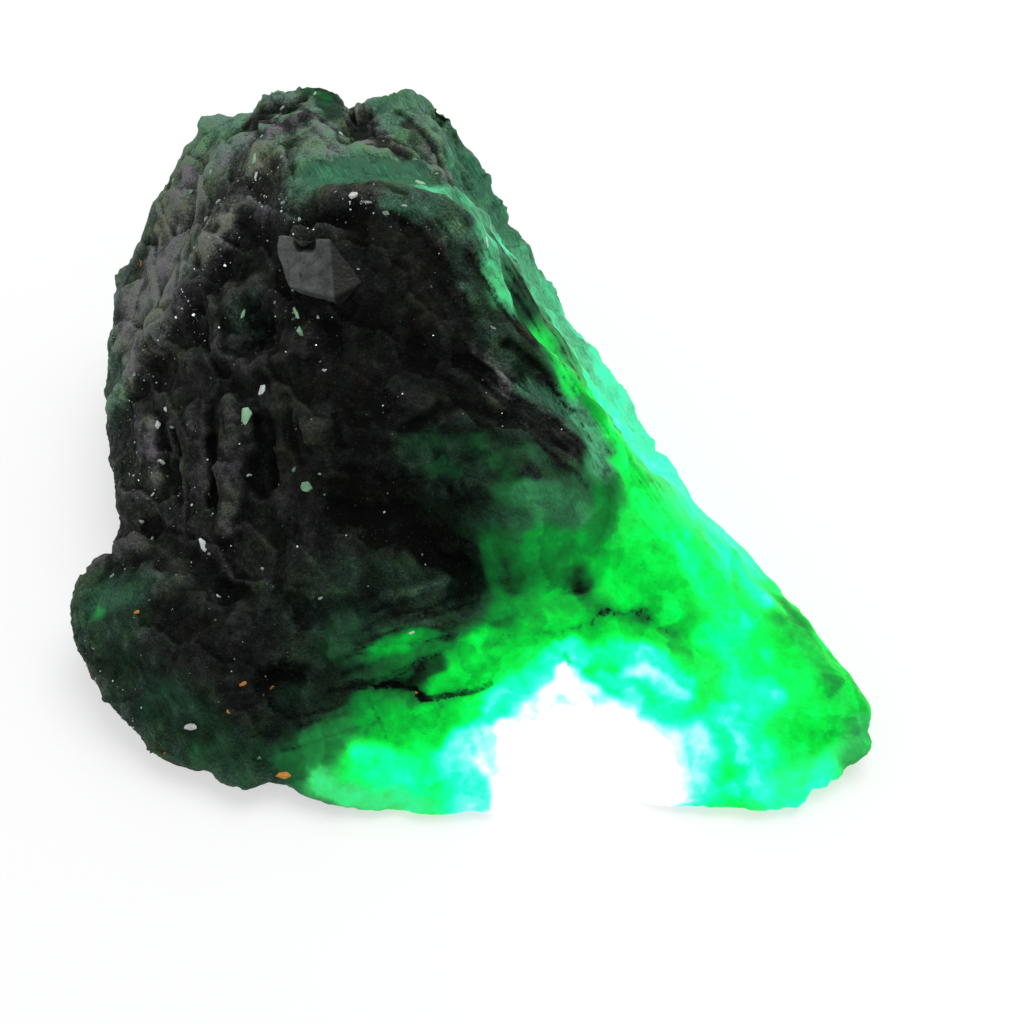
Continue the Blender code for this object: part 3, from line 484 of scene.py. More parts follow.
def broadTones(points):
    # broad drifts of tone over the skin, each from 0 to 1, and soft-edged shards
    tones = {name: np.empty(len(points)) for name in ("cloud", "patch", "warmth", "rust", "shard")}
    for index, place in enumerate(points):
        at = Vector(place)
        for name in ("cloud", "patch", "warmth", "rust"):
            size, start = stone["tones"][name]
            tones[name][index] = 0.5 + 0.8 * noise.fractal(at / size + Vector((start, 0, 0)), 0.8, 2.0, 4)
        bent = at / stone["shardSize"] + 0.25 * noise.noise_vector(at * 0.9)
        tones["shard"][index] = 0.5 + 0.5 * noise.cell(noise.voronoi(bent)[1][0] * 5.7)
    return {name: np.clip(values, 0, 1) for name, values in tones.items()}


def seenShare(normals):
    # 1 where the skin faces the camera, 0 where it faces away
    return smoothStep(-0.25, 0.1, -(normals @ np.array(viewAxes()[1])))


def thinOut(piece, normals):
    # fewer triangles where the camera doesn't look
    hidden = piece.vertex_groups.new(name="hidden")
    seen = seenShare(normals)
    for step in range(5):
        chosen = np.nonzero(np.round(4 * (1 - seen)) == step)[0]
        hidden.add(chosen.tolist(), max(step / 4, 0.02), "REPLACE")
    mesh = piece.data
    mesh.calc_loop_triangles()
    thin = piece.modifiers.new("thin", "DECIMATE")
    thin.ratio = min(1, stone["triangles"] / len(mesh.loop_triangles))
    thin.vertex_group = hidden.name
    thin.vertex_group_factor = 2.0
    return applied(piece)


def buildStone():
    piece = linked("emerald_stone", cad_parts["raw_emerald"].data.copy())
    shape = bmesh.new()
    shape.from_mesh(piece.data)
    bmesh.ops.remove_doubles(shape, verts=shape.verts[:], dist=0.0001 * mm)
    shape.to_mesh(piece.data)
    shape.free()
    grain = piece.modifiers.new("grain", "REMESH")
    grain.mode = "VOXEL"
    grain.voxel_size = stone["voxel"] * mm
    soften = piece.modifiers.new("soften", "SMOOTH")
    soften.iterations = stone["smoothing"]
    mesh = applied(piece)
    print("stone skin:", len(mesh.vertices), "points")

    points = meshArray(mesh, "co") / mm
    normals = meshArray(mesh, "normal")
    noises, drift = stoneNoise(points)
    light, paleAndPaintedShading = zoneFields(points + drift * stone["warp"])
    crust = 1 - smoothStep(*stone["crustEnd"], light)
    crumbly = crust * (1 - 0.8 * smoothStep(stone["smoothFrom"], stone["smoothTo"], paleAndPaintedShading))
    rough = 0.12 + 0.88 * crumbly
    lift = stone["lumpHeight"] * noises["lump"] * (0.3 + 0.7 * crust)
    lift += stone["crumbHeight"] * (np.minimum(noises["crumb"], 0.5) - 0.3) * rough
    lift -= stone["pitDepth"] * (1 - smoothStep(0, stone["pitReach"], noises["pit"])) * crumbly
    lift += stone["grainHeight"] * noises["fine"] * rough
    lift += stone["facetHeight"] * noises["facet"] * (0.4 + 0.6 * crust)
    lift += stone["fibreHeight"] * noises["fibre"] * (1 - crust)

    sight = np.array(viewAxes()[1])
    flatten = np.eye(3) - (1 - stone["depthShare"]) * np.outer(sight, sight)
    darkCracksAndShade = np.zeros(len(points))
    uneven = np.clip(0.7 * noises["lump"] + 0.5 * noises["fine"] - 0.15, -0.7, 0.5)
    flat, flatDrift = points @ flatten, drift @ flatten
    for path, halfWidth, height, darkness in list(forms.values()) + streakForms():
        corners = finePath(path) @ flatten
        reach = 2.5 * halfWidth
        wandering = flat + (stone["wear"] * (0.4 + halfWidth)) * flatDrift
        inside = (wandering > corners.min(axis=0) - reach) & (wandering < corners.max(axis=0) + reach)
        chosen = np.nonzero(inside.all(axis=1))[0]
        near = pathDistance(wandering[chosen], corners)
        swell = 1 + uneven[chosen] / (1 + halfWidth)  # the wide forms are the even ones
        lift[chosen] += height * swell * (1 - smoothStep(0, halfWidth, near))
        # painted shade along the cut forms, and the dark cracks
        shade = darkness * (1 - smoothStep(0, reach, near))
        darkCracksAndShade[chosen] = np.where(np.abs(shade) > np.abs(darkCracksAndShade[chosen]), shade, darkCracksAndShade[chosen])
    push = normals * lift[:, None]
    push[:, 2] *= smoothStep(0, 0.5, points[:, 2])  # it keeps the face it lies on
    points += push
    points[:, 2] = np.maximum(points[:, 2], 0)
    setPoints(mesh, points)
    for name, values in (("light", light), ("paleAndPaintedShading", paleAndPaintedShading), ("darkCracksAndShade", darkCracksAndShade), ("crumbly", crumbly)):
        setAttribute(mesh, name, values)
    mesh = thinOut(piece, meshArray(mesh, "normal"))
    mesh.calc_loop_triangles()
    print("stone skin: relief cut,", len(mesh.loop_triangles), "triangles")

    points = meshArray(mesh, "co") / mm
    normals = meshArray(mesh, "normal")
    # painted shade: bumps paler and hollows darker in the colour, by how far each point stands from its neighbours'
    # mean
    near = neighbourMean(mesh, points, 6)
    far = neighbourMean(mesh, near, stone["hollowRounds"])
    paintedBumpShade = ((points - near) * normals).sum(1)
    paintedHollowShade = ((points - far) * normals).sum(1)
    setAttribute(mesh, "paintedBumpShade", np.clip(0.5 + paintedBumpShade * stone["bulgeGain"], 0, 1))
    setAttribute(mesh, "paintedHollowShade", np.clip(0.5 + paintedHollowShade * stone["hollowGain"], 0, 1))
    for name, values in broadTones(points).items():
        setAttribute(mesh, name, values)
    mesh.shade_smooth()
    mesh.materials.clear()
    return piece, points, normals, attributeArray(mesh, "crumbly")


feldspar = {
    "corners": [
        (-10.8, 4.0, 21.9), (-10.6, 4.5, 22.8), (-7.5, 3.25, 23.6), (-7.2, 0.6, 21.4), (-10.0, 2.1, 20.9),
        (-5.6, 1.6, 21.7), (-9.2, 6.1, 18.5), (-5.7, 5.1, 18.5), (-6.7, 3.1, 17.5), (-9.7, 4.1, 18.5),
    ],
    "stand": 1.05,  # a touch proud of the stone's own skin
    "edge": 0.08,
    "voxel": 0.1,
    "pits": [((303, 238), 0.95), ((309, 246), 0.5), ((298, 245), 0.5), ((287, 262), 0.16),
             ((300, 276), 0.2), ((320, 272), 0.1)],  # place and radius
    "pitDepth": 0.7,
    "dimWay": (1.0, 0.094, 0.0), "dimFrom": -7.2, "dimTo": -7.05,  # the dim face is the one on this side
    "stepSize": 1.1, "stepHeight": 0.07,  # cleavage steps
    "wearSize": 0.2, "wearHeight": 0.03,
}


def buildFeldspar():
    shape = bmesh.new()
    corners = np.array(feldspar["corners"])
    middle = corners.mean(axis=0)
    for corner in (corners - middle) * feldspar["stand"] + middle:
        shape.verts.new(Vector(corner) * mm)
    hull = bmesh.ops.convex_hull(shape, input=shape.verts[:])
    spare = [part for part in hull["geom_interior"] if isinstance(part, bmesh.types.BMVert)]
    bmesh.ops.delete(shape, geom=spare, context="VERTS")
    bmesh.ops.dissolve_limit(shape, angle_limit=math.radians(4), verts=shape.verts[:], edges=shape.edges[:])
    piece = pieceFrom(shape, "feldspar_crystal")
    edges = piece.modifiers.new("edges", "BEVEL")
    edges.width = feldspar["edge"] * mm
    edges.segments = 2
    detail = piece.modifiers.new("detail", "REMESH")
    detail.mode = "VOXEL"
    detail.voxel_size = feldspar["voxel"] * mm
    mesh = applied(piece)
    points = meshArray(mesh, "co") / mm
    normals = meshArray(mesh, "normal")
    lift = np.zeros(len(points))
    skin = BVHTree.FromPolygons([Vector(point) for point in points], [list(face.vertices) for face in mesh.polygons])
    for place, radius in feldspar["pits"]:
        away = np.linalg.norm(points - np.array(seenAt(place, skin)), axis=1)
        lift -= feldspar["pitDepth"] * np.maximum(radius - away, 0)
    setAttribute(mesh, "dim", smoothStep(feldspar["dimFrom"], feldspar["dimTo"], points @ np.array(feldspar["dimWay"])))
    # the pits' depth, used to paint shade in them
    setAttribute(mesh, "pit", np.clip(-lift * 5, 0, 1))
    for index, place in enumerate(points):
        at = Vector(place)
        lift[index] += feldspar["stepHeight"] * math.floor(4 * noise.noise(at / feldspar["stepSize"])) / 4
        lift[index] += feldspar["wearHeight"] * noise.noise(at / feldspar["wearSize"])
    setPoints(mesh, points + normals * lift[:, None])
    return piece


class Heap:
    # gathers many small solids into one mesh
    def __init__(self):
        self.points = []
        self.faces = []
        self.tones = []

    def add(self, points, faces, tone):
        start = len(self.points)
        self.points.extend((point[0], point[1], max(0, point[2])) for point in points)
        self.faces.extend([start + corner for corner in face] for face in faces)
        self.tones.extend([tone] * len(points))

    def piece(self, name):
        mesh = bpy.data.meshes.new(name)
        mesh.from_pydata([tuple(mm * value for value in point) for point in self.points], [], self.faces)
        mesh.update()
        setAttribute(mesh, "tone", np.array(self.tones))
        return linked(name, mesh)


def axesOn(normal):
    out = Vector(normal).normalized()
    side = out.orthogonal().normalized()
    return side, out.cross(side), out


flakes = {
    "count": 300, "least": 0.02, "most": 0.085, "largeShare": 0.04, "large": 0.14,
    "thickness": 0.02, "tilt": 0.5, "sides": 6, "seed": 11,
    "crowds": [  # where the flakes crowd: a path, how far around it, how many
        ([(262, 150), (243, 195), (222, 235), (180, 312)], 2.0, 150),
        ([(240, 170), (290, 190), (300, 215)], 1.6, 60),
        ([(180, 310), (140, 360), (120, 400)], 1.2, 60),
        ([(130, 400), (150, 480), (180, 500)], 2.2, 100),
        ([(120, 560), (160, 560), (200, 540)], 2.2, 45),
        ([(80, 640), (110, 690), (160, 735), (240, 760)], 2.0, 60),
        ([(340, 195), (400, 205), (440, 225)], 0.7, 60),
        ([(300, 240), (280, 290), (300, 330)], 1.5, 50),
    ],
}


def addFlake(heap, place, normal, radius, draw):
    lean = Vector((draw.gauss(0, 1), draw.gauss(0, 1), draw.gauss(0, 1))) * flakes["tilt"]
    side, up, out = axesOn(Vector(normal) + lean)
    turn = draw.uniform(0, math.tau)
    squash = draw.uniform(0.6, 1.0)
    sides = flakes["sides"]
    middle = Vector(place) + Vector(normal) * radius * 0.2
    half = out * flakes["thickness"] / 2
    ring = []
    for corner in range(sides):
        angle = turn + math.tau * corner / sides
        reach = radius * draw.uniform(0.8, 1.15)
        ring.append(middle + side * math.cos(angle) * reach + up * math.sin(angle) * reach * squash)
    faces = [list(range(sides))[::-1], list(range(sides, 2 * sides))]
    faces += [[k, (k + 1) % sides, sides + (k + 1) % sides, sides + k] for k in range(sides)]
    heap.add([point - half for point in ring] + [point + half for point in ring], faces, draw.random() ** 2)


def buildFlakes(points, normals, crust):
    draw = random.Random(flakes["seed"])
    heap = Heap()
    free = crust * (points[:, 2] > 1.0)
    chosen = draw.choices(range(len(points)), weights=free.tolist(), k=flakes["count"])
    for path, reach, count in flakes["crowds"]:
        near = np.exp(-((pathDistance(points, seenPath(path)) / reach) ** 2)) * free
        chosen += draw.choices(range(len(points)), weights=near.tolist(), k=count)
    for index in chosen:
        radius = draw.uniform(flakes["least"], flakes["most"])
        if draw.random() < flakes["largeShare"]:
            radius = flakes["large"] * draw.uniform(0.7, 1.0)
        addFlake(heap, points[index], normals[index], radius, draw)
    return heap.piece("mica_flakes")


# Grains and short needles grown into the skin: place, length, width, turn in degrees
grains = {
    "white_grains": [
        ((263, 391), 0.86, 0.6, 42), ((203, 545), 1.05, 0.5, 87), ((190, 726), 0.9, 0.62, 10), ((156, 426), 0.8, 0.6, 91),
        ((354, 195), 0.8, 0.4, 33), ((161, 462), 0.5, 0.42, 155), ((167, 409), 0.52, 0.38, 118), ((223, 591), 0.63, 0.4, 73),
        ((218, 200), 0.62, 0.32, 24), ((223, 206), 0.42, 0.33, 96), ((256, 176), 0.7, 0.3, 91), ((285, 110), 0.64, 0.3, 26),
        ((487, 243), 0.8, 0.2, 129), ((142, 521), 0.42, 0.35, 128), ((152, 540), 0.64, 0.28, 35), ((282, 202), 0.36, 0.3, 27),
        ((367, 202), 0.8, 0.18, 19), ((171, 429), 0.43, 0.24, 66), ((283, 158), 0.36, 0.26, 7), ((493, 328), 0.5, 0.22, 146),
        ((341, 133), 0.5, 0.25, 147), ((263, 137), 0.3, 0.26, 45), ((324, 370), 0.36, 0.26, 0), ((195, 248), 0.37, 0.28, 153),
        ((207, 219), 0.46, 0.26, 56), ((152, 494), 0.6, 0.16, 38), ((318, 317), 0.28, 0.2, 75), ((262, 568), 0.34, 0.26, 60),
        ((320, 598), 0.5, 0.2, 70), ((411, 632), 0.42, 0.24, 47), ((250, 476), 0.45, 0.2, 10), ((404, 205), 0.5, 0.16, 156), ((295, 290), 0.45, 0.3, 10), ((298, 221), 0.42, 0.34, 30),
    ],
    "green_grains": [
        ((247, 416), 1.35, 0.8, 80), ((241, 317), 1.0, 0.26, 88), ((297, 315), 0.95, 0.32, 108), ((300, 332), 0.95, 0.45, 96),
        ((420, 184), 1.1, 0.42, 160), ((256, 160), 1.0, 0.36, 79), ((316, 99), 0.68, 0.32, 103), ((386, 214), 0.49, 0.34, 114),
        ((307, 487), 1.0, 0.66, 10), ((191, 192), 0.47, 0.36, 73), ((210, 172), 0.42, 0.34, 60), ((172, 180), 0.4, 0.28, 30), ((123, 547), 0.5, 0.26, 58),
        ((415, 160), 0.38, 0.26, 17), ((436, 173), 0.34, 0.2, 0), ((293, 470), 0.4, 0.26, 50), ((320, 474), 0.3, 0.2, 20),
        ((91, 648), 0.36, 0.2, 83), ((111, 575), 0.4, 0.22, 50), ((259, 758), 0.34, 0.26, 15), ((456, 184), 0.4, 0.2, 140),
    ],
    "ochre_grains": [
        ((284, 775), 0.95, 0.5, 5), ((137, 612), 0.4, 0.3, 40), ((243, 684), 0.5, 0.34, 20), ((272, 686), 0.4, 0.22, 50),
        ((417, 692), 0.26, 0.22, 0), ((142, 264), 0.5, 0.26, 60), ((230, 711), 0.42, 0.3, 0), ((164, 753), 0.3, 0.2, 0),
    ],
}


chips = {"corners": 18, "scale": 0.5, "sink": 0.02, "seed": 23}


def buildGrains(name, skin):
    # each grain is the hull of a few corners strewn over an egg: an angular chip
    draw = random.Random(chips["seed"])
    heap = Heap()
    for place, length, width, turn in grains[name]:
        _, at, out, _ = skin.closest_point_on_mesh(Vector(seenAt(place)) * mm)
        angle = math.radians(turn)
        along = Vector((math.cos(angle), math.sin(angle), 0))
        along = (along - out * along.dot(out)).normalized()
        across = out.cross(along)
        shape = bmesh.new()
        for _ in range(chips["corners"]):
            way = Vector((draw.gauss(0, 1), draw.gauss(0, 1), draw.gauss(0, 1))).normalized() * draw.uniform(0.85, 1.15)
            reach = along * way.x * length + across * way.y * width + out * way.z * width * 0.8
            shape.verts.new(at / mm - out * width * chips["sink"] + reach * chips["scale"])
        hull = bmesh.ops.convex_hull(shape, input=shape.verts[:])
        spare = [part for part in hull["geom_interior"] if isinstance(part, bmesh.types.BMVert)]
        bmesh.ops.delete(shape, geom=spare, context="VERTS")
        shape.verts.index_update()
        faces = [[vert.index for vert in face.verts] for face in shape.faces]
        tone = min(1, 0.25 * length + 0.6 * draw.random())  # the large ones are the bright ones
        heap.add([vert.co for vert in shape.verts], faces, tone)
        shape.free()
    return heap.piece(name)


class Graph:
    # a short way to lay out shader nodes
    def __init__(self, tree):
        self.tree = tree
        self.count = 0

    def set(self, socket, value):
        if isinstance(value, bpy.types.NodeSocket):
            self.tree.links.new(value, socket)
        else:
            socket.default_value = value

    def node(self, kind, settings=None, inputs=None):
        made = self.tree.nodes.new(kind)
        made.location = (200 * (self.count % 12), -280 * (self.count // 12))
        self.count += 1
        for name, value in (settings or {}).items():
            setattr(made, name, value)
        for name, value in (inputs or {}).items():
            self.set(made.inputs[name], value)
        return made

    def math(self, operation, first, second=0.0):
        return self.node("ShaderNodeMath", {"operation": operation}, {0: first, 1: second}).outputs[0]

    def move(self, operation, first, second):
        # vector sums; a plain number as the second value scales
        if operation == "SCALE":
            return self.node("ShaderNodeVectorMath", {"operation": "SCALE"}, {0: first, "Scale": second}).outputs[0]
        return self.node("ShaderNodeVectorMath", {"operation": operation}, {0: first, 1: second}).outputs[0]

    def span(self, value, low, high, toLow=0.0, toHigh=1.0, kind="SMOOTHSTEP"):
        inputs = {"Value": value, "From Min": low, "From Max": high, "To Min": toLow, "To Max": toHigh}
        return self.node("ShaderNodeMapRange", {"interpolation_type": kind}, inputs).outputs[0]

    def mix(self, share, first, second, blend="MIX"):
        settings = {"data_type": "RGBA", "blend_type": blend}
        return self.node("ShaderNodeMix", settings, {0: share, 6: colour(first), 7: colour(second)}).outputs[2]

    def ramp(self, value, stops):
        made = self.node("ShaderNodeValToRGB", None, {0: value})
        marks = made.color_ramp.elements
        while len(marks) < len(stops):
            marks.new(1.0)
        for mark, (place, tint) in zip(marks, stops):
            mark.position = place
            mark.color = (*tint, 1)
        return made.outputs[0]

    def attribute(self, name):
        return self.node("ShaderNodeAttribute", {"attribute_name": name}).outputs["Fac"]

    def place(self):
        # where the shaded point is, in millimetres
        return self.move("SCALE", self.node("ShaderNodeTexCoord").outputs["Object"], 1 / mm)

    def group(self, tree, **inputs):
        return self.node("ShaderNodeGroup", {"node_tree": tree}, inputs).outputs


def colour(value):
    return value if isinstance(value, bpy.types.NodeSocket) or len(value) == 4 else (*value, 1)


def newGroup(name, inputs, outputs):
    tree = bpy.data.node_groups.new(name, "ShaderNodeTree")
    for label, value in inputs.items():
        kind = "NodeSocketVector" if value is None else "NodeSocketFloat"
        socket = tree.interface.new_socket(name=label, in_out="INPUT", socket_type=kind)
        if value is not None:
            socket.default_value = value
    for label in outputs:
        tree.interface.new_socket(name=label, in_out="OUTPUT", socket_type="NodeSocketFloat")
    graph = Graph(tree)
    given = graph.node("NodeGroupInput").outputs
    result = graph.node("NodeGroupOutput").inputs
    return tree, graph, given, result


def cloudsGroup():
    # soft drifting patches, from 0 to 1
    tree, graph, given, result = newGroup("stoneClouds", {"Place": None, "Size": 2.0, "Drift": 0.6}, ["Value"])
    place = graph.move("SCALE", given["Place"], graph.math("DIVIDE", 1.0, given["Size"]))
    drift = graph.node("ShaderNodeTexNoise", None, {"Vector": place, "Scale": 0.9, "Detail": 1.0}).outputs["Color"]
    drift = graph.move("SCALE", graph.move("SUBTRACT", drift, (0.5, 0.5, 0.5)), given["Drift"])
    place = graph.move("ADD", place, drift)
    patches = graph.node("ShaderNodeTexNoise", None, {"Vector": place, "Scale": 1.0, "Detail": 4.0, "Roughness": 0.64})
    graph.set(result["Value"], graph.span(patches.outputs["Fac"], 0.3, 0.7, kind="LINEAR"))
    return tree


def shardsGroup():
    # soft-edged angular pieces: a tone for each, and 1 on the seams between them
    inputs = {"Place": None, "Size": 1.5, "Softness": 0.3, "Drift": 0.3}
    tree, graph, given, result = newGroup("stoneShards", inputs, ["Tone", "Seam"])
    place = graph.move("SCALE", given["Place"], graph.math("DIVIDE", 1.0, given["Size"]))
    drift = graph.node("ShaderNodeTexNoise", None, {"Vector": place, "Scale": 1.7, "Detail": 3.0}).outputs["Color"]
    drift = graph.move("SCALE", graph.move("SUBTRACT", drift, (0.5, 0.5, 0.5)), given["Drift"])
    place = graph.move("ADD", place, drift)
    inputs = {"Vector": place, "Scale": 1.0, "Smoothness": given["Softness"]}
    cells = graph.node("ShaderNodeTexVoronoi", {"feature": "SMOOTH_F1"}, inputs)
    tone = graph.node("ShaderNodeSeparateColor", None, {0: cells.outputs["Color"]}).outputs[0]
    gaps = graph.node("ShaderNodeTexVoronoi", {"feature": "DISTANCE_TO_EDGE"}, {"Vector": place, "Scale": 1.0})
    graph.set(result["Tone"], tone)
    graph.set(result["Seam"], graph.span(gaps.outputs["Distance"], 0.0, 0.06, 1.0, 0.0))
    return tree


def grainGroup():
    # crumbly grain: a height for bumps, and sparse round specks
    inputs = {"Place": None, "Size": 0.4, "Specks": 0.3}
    tree, graph, given, result = newGroup("stoneGrain", inputs, ["Height", "Speck"])
    place = graph.move("SCALE", given["Place"], graph.math("DIVIDE", 1.0, given["Size"]))
    crumbs = graph.node("ShaderNodeTexVoronoi", None, {"Vector": place, "Scale": 1.0})
    dust = graph.node("ShaderNodeTexNoise", None, {"Vector": place, "Scale": 1.5, "Detail": 4.0, "Roughness": 0.7})
    height = graph.math("ADD", graph.math("MULTIPLY", crumbs.outputs["Distance"], 0.6), dust.outputs["Fac"])
    pick = graph.node("ShaderNodeSeparateColor", None, {0: crumbs.outputs["Color"]}).outputs[0]
    spot = graph.span(crumbs.outputs["Distance"], 0.12, 0.3, 1.0, 0.0)
    kept = graph.math("LESS_THAN", pick, given["Specks"])
    graph.set(result["Height"], height)
    graph.set(result["Speck"], graph.math("MULTIPLY", spot, kept))
    return tree


def newMaterial(name):
    made = bpy.data.materials.new(name)
    made.use_nodes = True
    shader = made.node_tree.nodes["Principled BSDF"]
    shader.location = (2600, 0)
    made.node_tree.nodes["Material Output"].location = (2900, 0)
    return made, Graph(made.node_tree), shader.inputs


beryl = {
    # the colour of the painted torch glow, from none to full, in clear and in milky beryl
    "clear": [
        (0.0, (0, 0, 0)), (0.1, (0.0012, 0.0065, 0.0026)), (0.2, (0.004, 0.032, 0.011)), (0.3, (0.004, 0.108, 0.019)),
        (0.4, (0.003, 0.25, 0.03)), (0.5, (0.0015, 0.5, 0.036)), (0.58, (0.001, 0.8, 0.052)),
        (0.66, (0.001, 0.96, 0.125)), (0.74, (0.002, 0.98, 0.38)), (0.82, (0.015, 0.97, 0.65)),
        (0.89, (0.13, 0.98, 0.84)), (0.94, (0.42, 1.0, 0.96)), (1.0, (1, 1, 1)),
    ],
    "milky": [
        (0.0, (0, 0, 0)), (0.1, (0.004, 0.01, 0.006)), (0.2, (0.009, 0.034, 0.016)), (0.3, (0.028, 0.1, 0.057)),
        (0.4, (0.052, 0.22, 0.11)), (0.5, (0.08, 0.42, 0.2)), (0.6, (0.09, 0.68, 0.33)), (0.7, (0.07, 0.92, 0.48)),
        (0.8, (0.06, 0.97, 0.66)), (0.9, (0.3, 0.99, 0.88)), (1.0, (1, 1, 1)),
    ],
    "glow": 0.28, "strength": 2.5,  # the share of the painted glow that shines as emission
    "torch": 0.72,  # how much more painted glow shines at the hot spot, where the torch would be
    "body": 0.36,  # where it shines, the share of the painted glow colour kept in the base colour
    "cloud": 0.11, "mistSize": 0.6, "mist": 0.06, "shard": 0.1, "speck": 0.1,
    "calm": (0.12, 0.5, 0.35), "torchCalm": (0.75, 1.05, 0.5),  # where the light is even: from, to, what is left
    "fleckSize": 0.34, "darkCracksAndShade": 0.2, "fibreSize": (0.14, 0.14, 2.6), "fibre": 0.3,
}
schist = {
    # from black through grey, by the skin's paleness
    "skin": [
        (0.0, (0.0018, 0.0021, 0.0019)), (0.25, (0.0083, 0.009, 0.0086)), (0.5, (0.0255, 0.026, 0.0252)),
        (0.75, (0.073, 0.073, 0.071)), (1.0, (0.17, 0.17, 0.165)),
    ],
    "warmth": [(0.15, (0.94, 1.03, 0.78)), (0.5, (0.97, 1.02, 0.97)), (0.9, (1.02, 0.95, 1.07))],  # olive to violet
    "green": (0.7, 1.5, 0.98),  # the green tint painted on the schist where the torch glow reaches it
    "patch": 0.17, "mistSize": 0.14, "mist": 0.5, "paintedBumpShade": 0.5, "paintedHollowShade": 0.4, "darkCracksAndShade": 0.25,
    "darkCalm": 0.6,  # the darkest skin is the most even
    "rust": (0.04, 0.02, 0.006), "rustShare": 0.05,
    "speck": (0.035, 0.036, 0.034), "speckShare": 0.5,
    "earth": (0.09, 0.045, 0.008), "earthHeight": 0.55,  # ochre dirt where it meets the floor
}


def leaning(graph, value, amount):
    # a value from 0 to 1, made a push of that size up or down
    return graph.math("MULTIPLY", graph.math("SUBTRACT", value, 0.5), amount)


def paintedTorchGlow(graph, place, mist, fleck, crumbs):
    # the painted torch glow in the beryl, an emission standing in for a torch below, broken up by clouds, shards,
    # cracks, painted shade in the grooves and dark fibres
    light = graph.attribute("light")
    broken = leaning(graph, mist, beryl["mist"])
    for name in ("cloud", "shard"):
        broken = graph.math("ADD", broken, leaning(graph, graph.attribute(name), beryl[name]))
    low, high, left = beryl["calm"]
    broken = graph.math("MULTIPLY", broken, graph.span(light, low, high, left, 1.0))
    low, high, left = beryl["torchCalm"]
    broken = graph.math("MULTIPLY", broken, graph.span(light, low, high, 1.0, left))
    paintedGlow = graph.math("ADD", light, broken)

    mapping = graph.node("ShaderNodeMapping", {"vector_type": "TEXTURE"}, {"Vector": place})
    mapping.inputs["Rotation"].default_value = Vector(stone["fibreWay"]).to_track_quat("Z", "Y").to_euler()
    mapping.inputs["Scale"].default_value = beryl["fibreSize"]
    fibres = graph.node("ShaderNodeTexNoise", None, {"Vector": mapping.outputs[0], "Scale": 1.0, "Detail": 2.0})
    milky = graph.span(graph.attribute("paleAndPaintedShading"), 0.25, 0.6)
    fibre = graph.math("MULTIPLY", leaning(graph, fibres.outputs["Fac"], beryl["fibre"]), milky)

    darkCracksAndShade = graph.attribute("darkCracksAndShade")
    dark = graph.span(graph.math("ADD", darkCracksAndShade, leaning(graph, fleck, 0.5)), 0.42, 0.9)
    darkCracksAndShade = graph.math("MULTIPLY", graph.math("ADD", dark, graph.math("MULTIPLY", darkCracksAndShade, 0.5)), beryl["darkCracksAndShade"])
    paintedGlow = graph.math("SUBTRACT", graph.math("ADD", paintedGlow, fibre), darkCracksAndShade)
    specks = graph.math("MULTIPLY", graph.math("MULTIPLY", crumbs["Speck"], milky), beryl["speck"])
    return graph.math("SUBTRACT", paintedGlow, specks)


def schistSkin(graph, place, clouds, crumbs, paintedGlow):
    mist = graph.group(clouds, Place=place, Size=schist["mistSize"], Drift=0.9)["Value"]
    paleAndPaintedShading = graph.attribute("paleAndPaintedShading")
    # the rock's own mottling and patches, with painted shade: bumps paler, hollows darker, cracks and grooves darker
    shade = leaning(graph, mist, schist["mist"])
    for name in ("patch", "paintedBumpShade", "paintedHollowShade"):
        shade = graph.math("ADD", shade, leaning(graph, graph.attribute(name), schist[name]))
    shade = graph.math("MULTIPLY", shade, graph.span(paleAndPaintedShading, 0.1, 0.8, schist["darkCalm"], 1.0))
    shade = graph.math("SUBTRACT", shade, graph.math("MULTIPLY", graph.attribute("darkCracksAndShade"), schist["darkCracksAndShade"]))
    skin = graph.ramp(graph.math("ADD", paleAndPaintedShading, shade), schist["skin"])
    skin = graph.mix(graph.math("MULTIPLY", crumbs["Speck"], schist["speckShare"]), skin, schist["speck"])
    rust = graph.span(graph.attribute("rust"), 0.8, 1.0)
    skin = graph.mix(graph.math("MULTIPLY", rust, schist["rustShare"]), skin, schist["rust"])
    skin = graph.mix(1.0, skin, graph.ramp(graph.attribute("warmth"), schist["warmth"]), "MULTIPLY")
    # painted light: the schist turns greener where the painted torch glow reaches it
    skin = graph.mix(graph.span(paintedGlow, 0.02, 0.2), skin, graph.mix(1.0, skin, schist["green"], "MULTIPLY"))
    height = graph.node("ShaderNodeSeparateXYZ", None, {0: place}).outputs["Z"]
    return graph.mix(graph.span(height, 0.0, schist["earthHeight"], 1.0, 0.0), skin, schist["earth"])


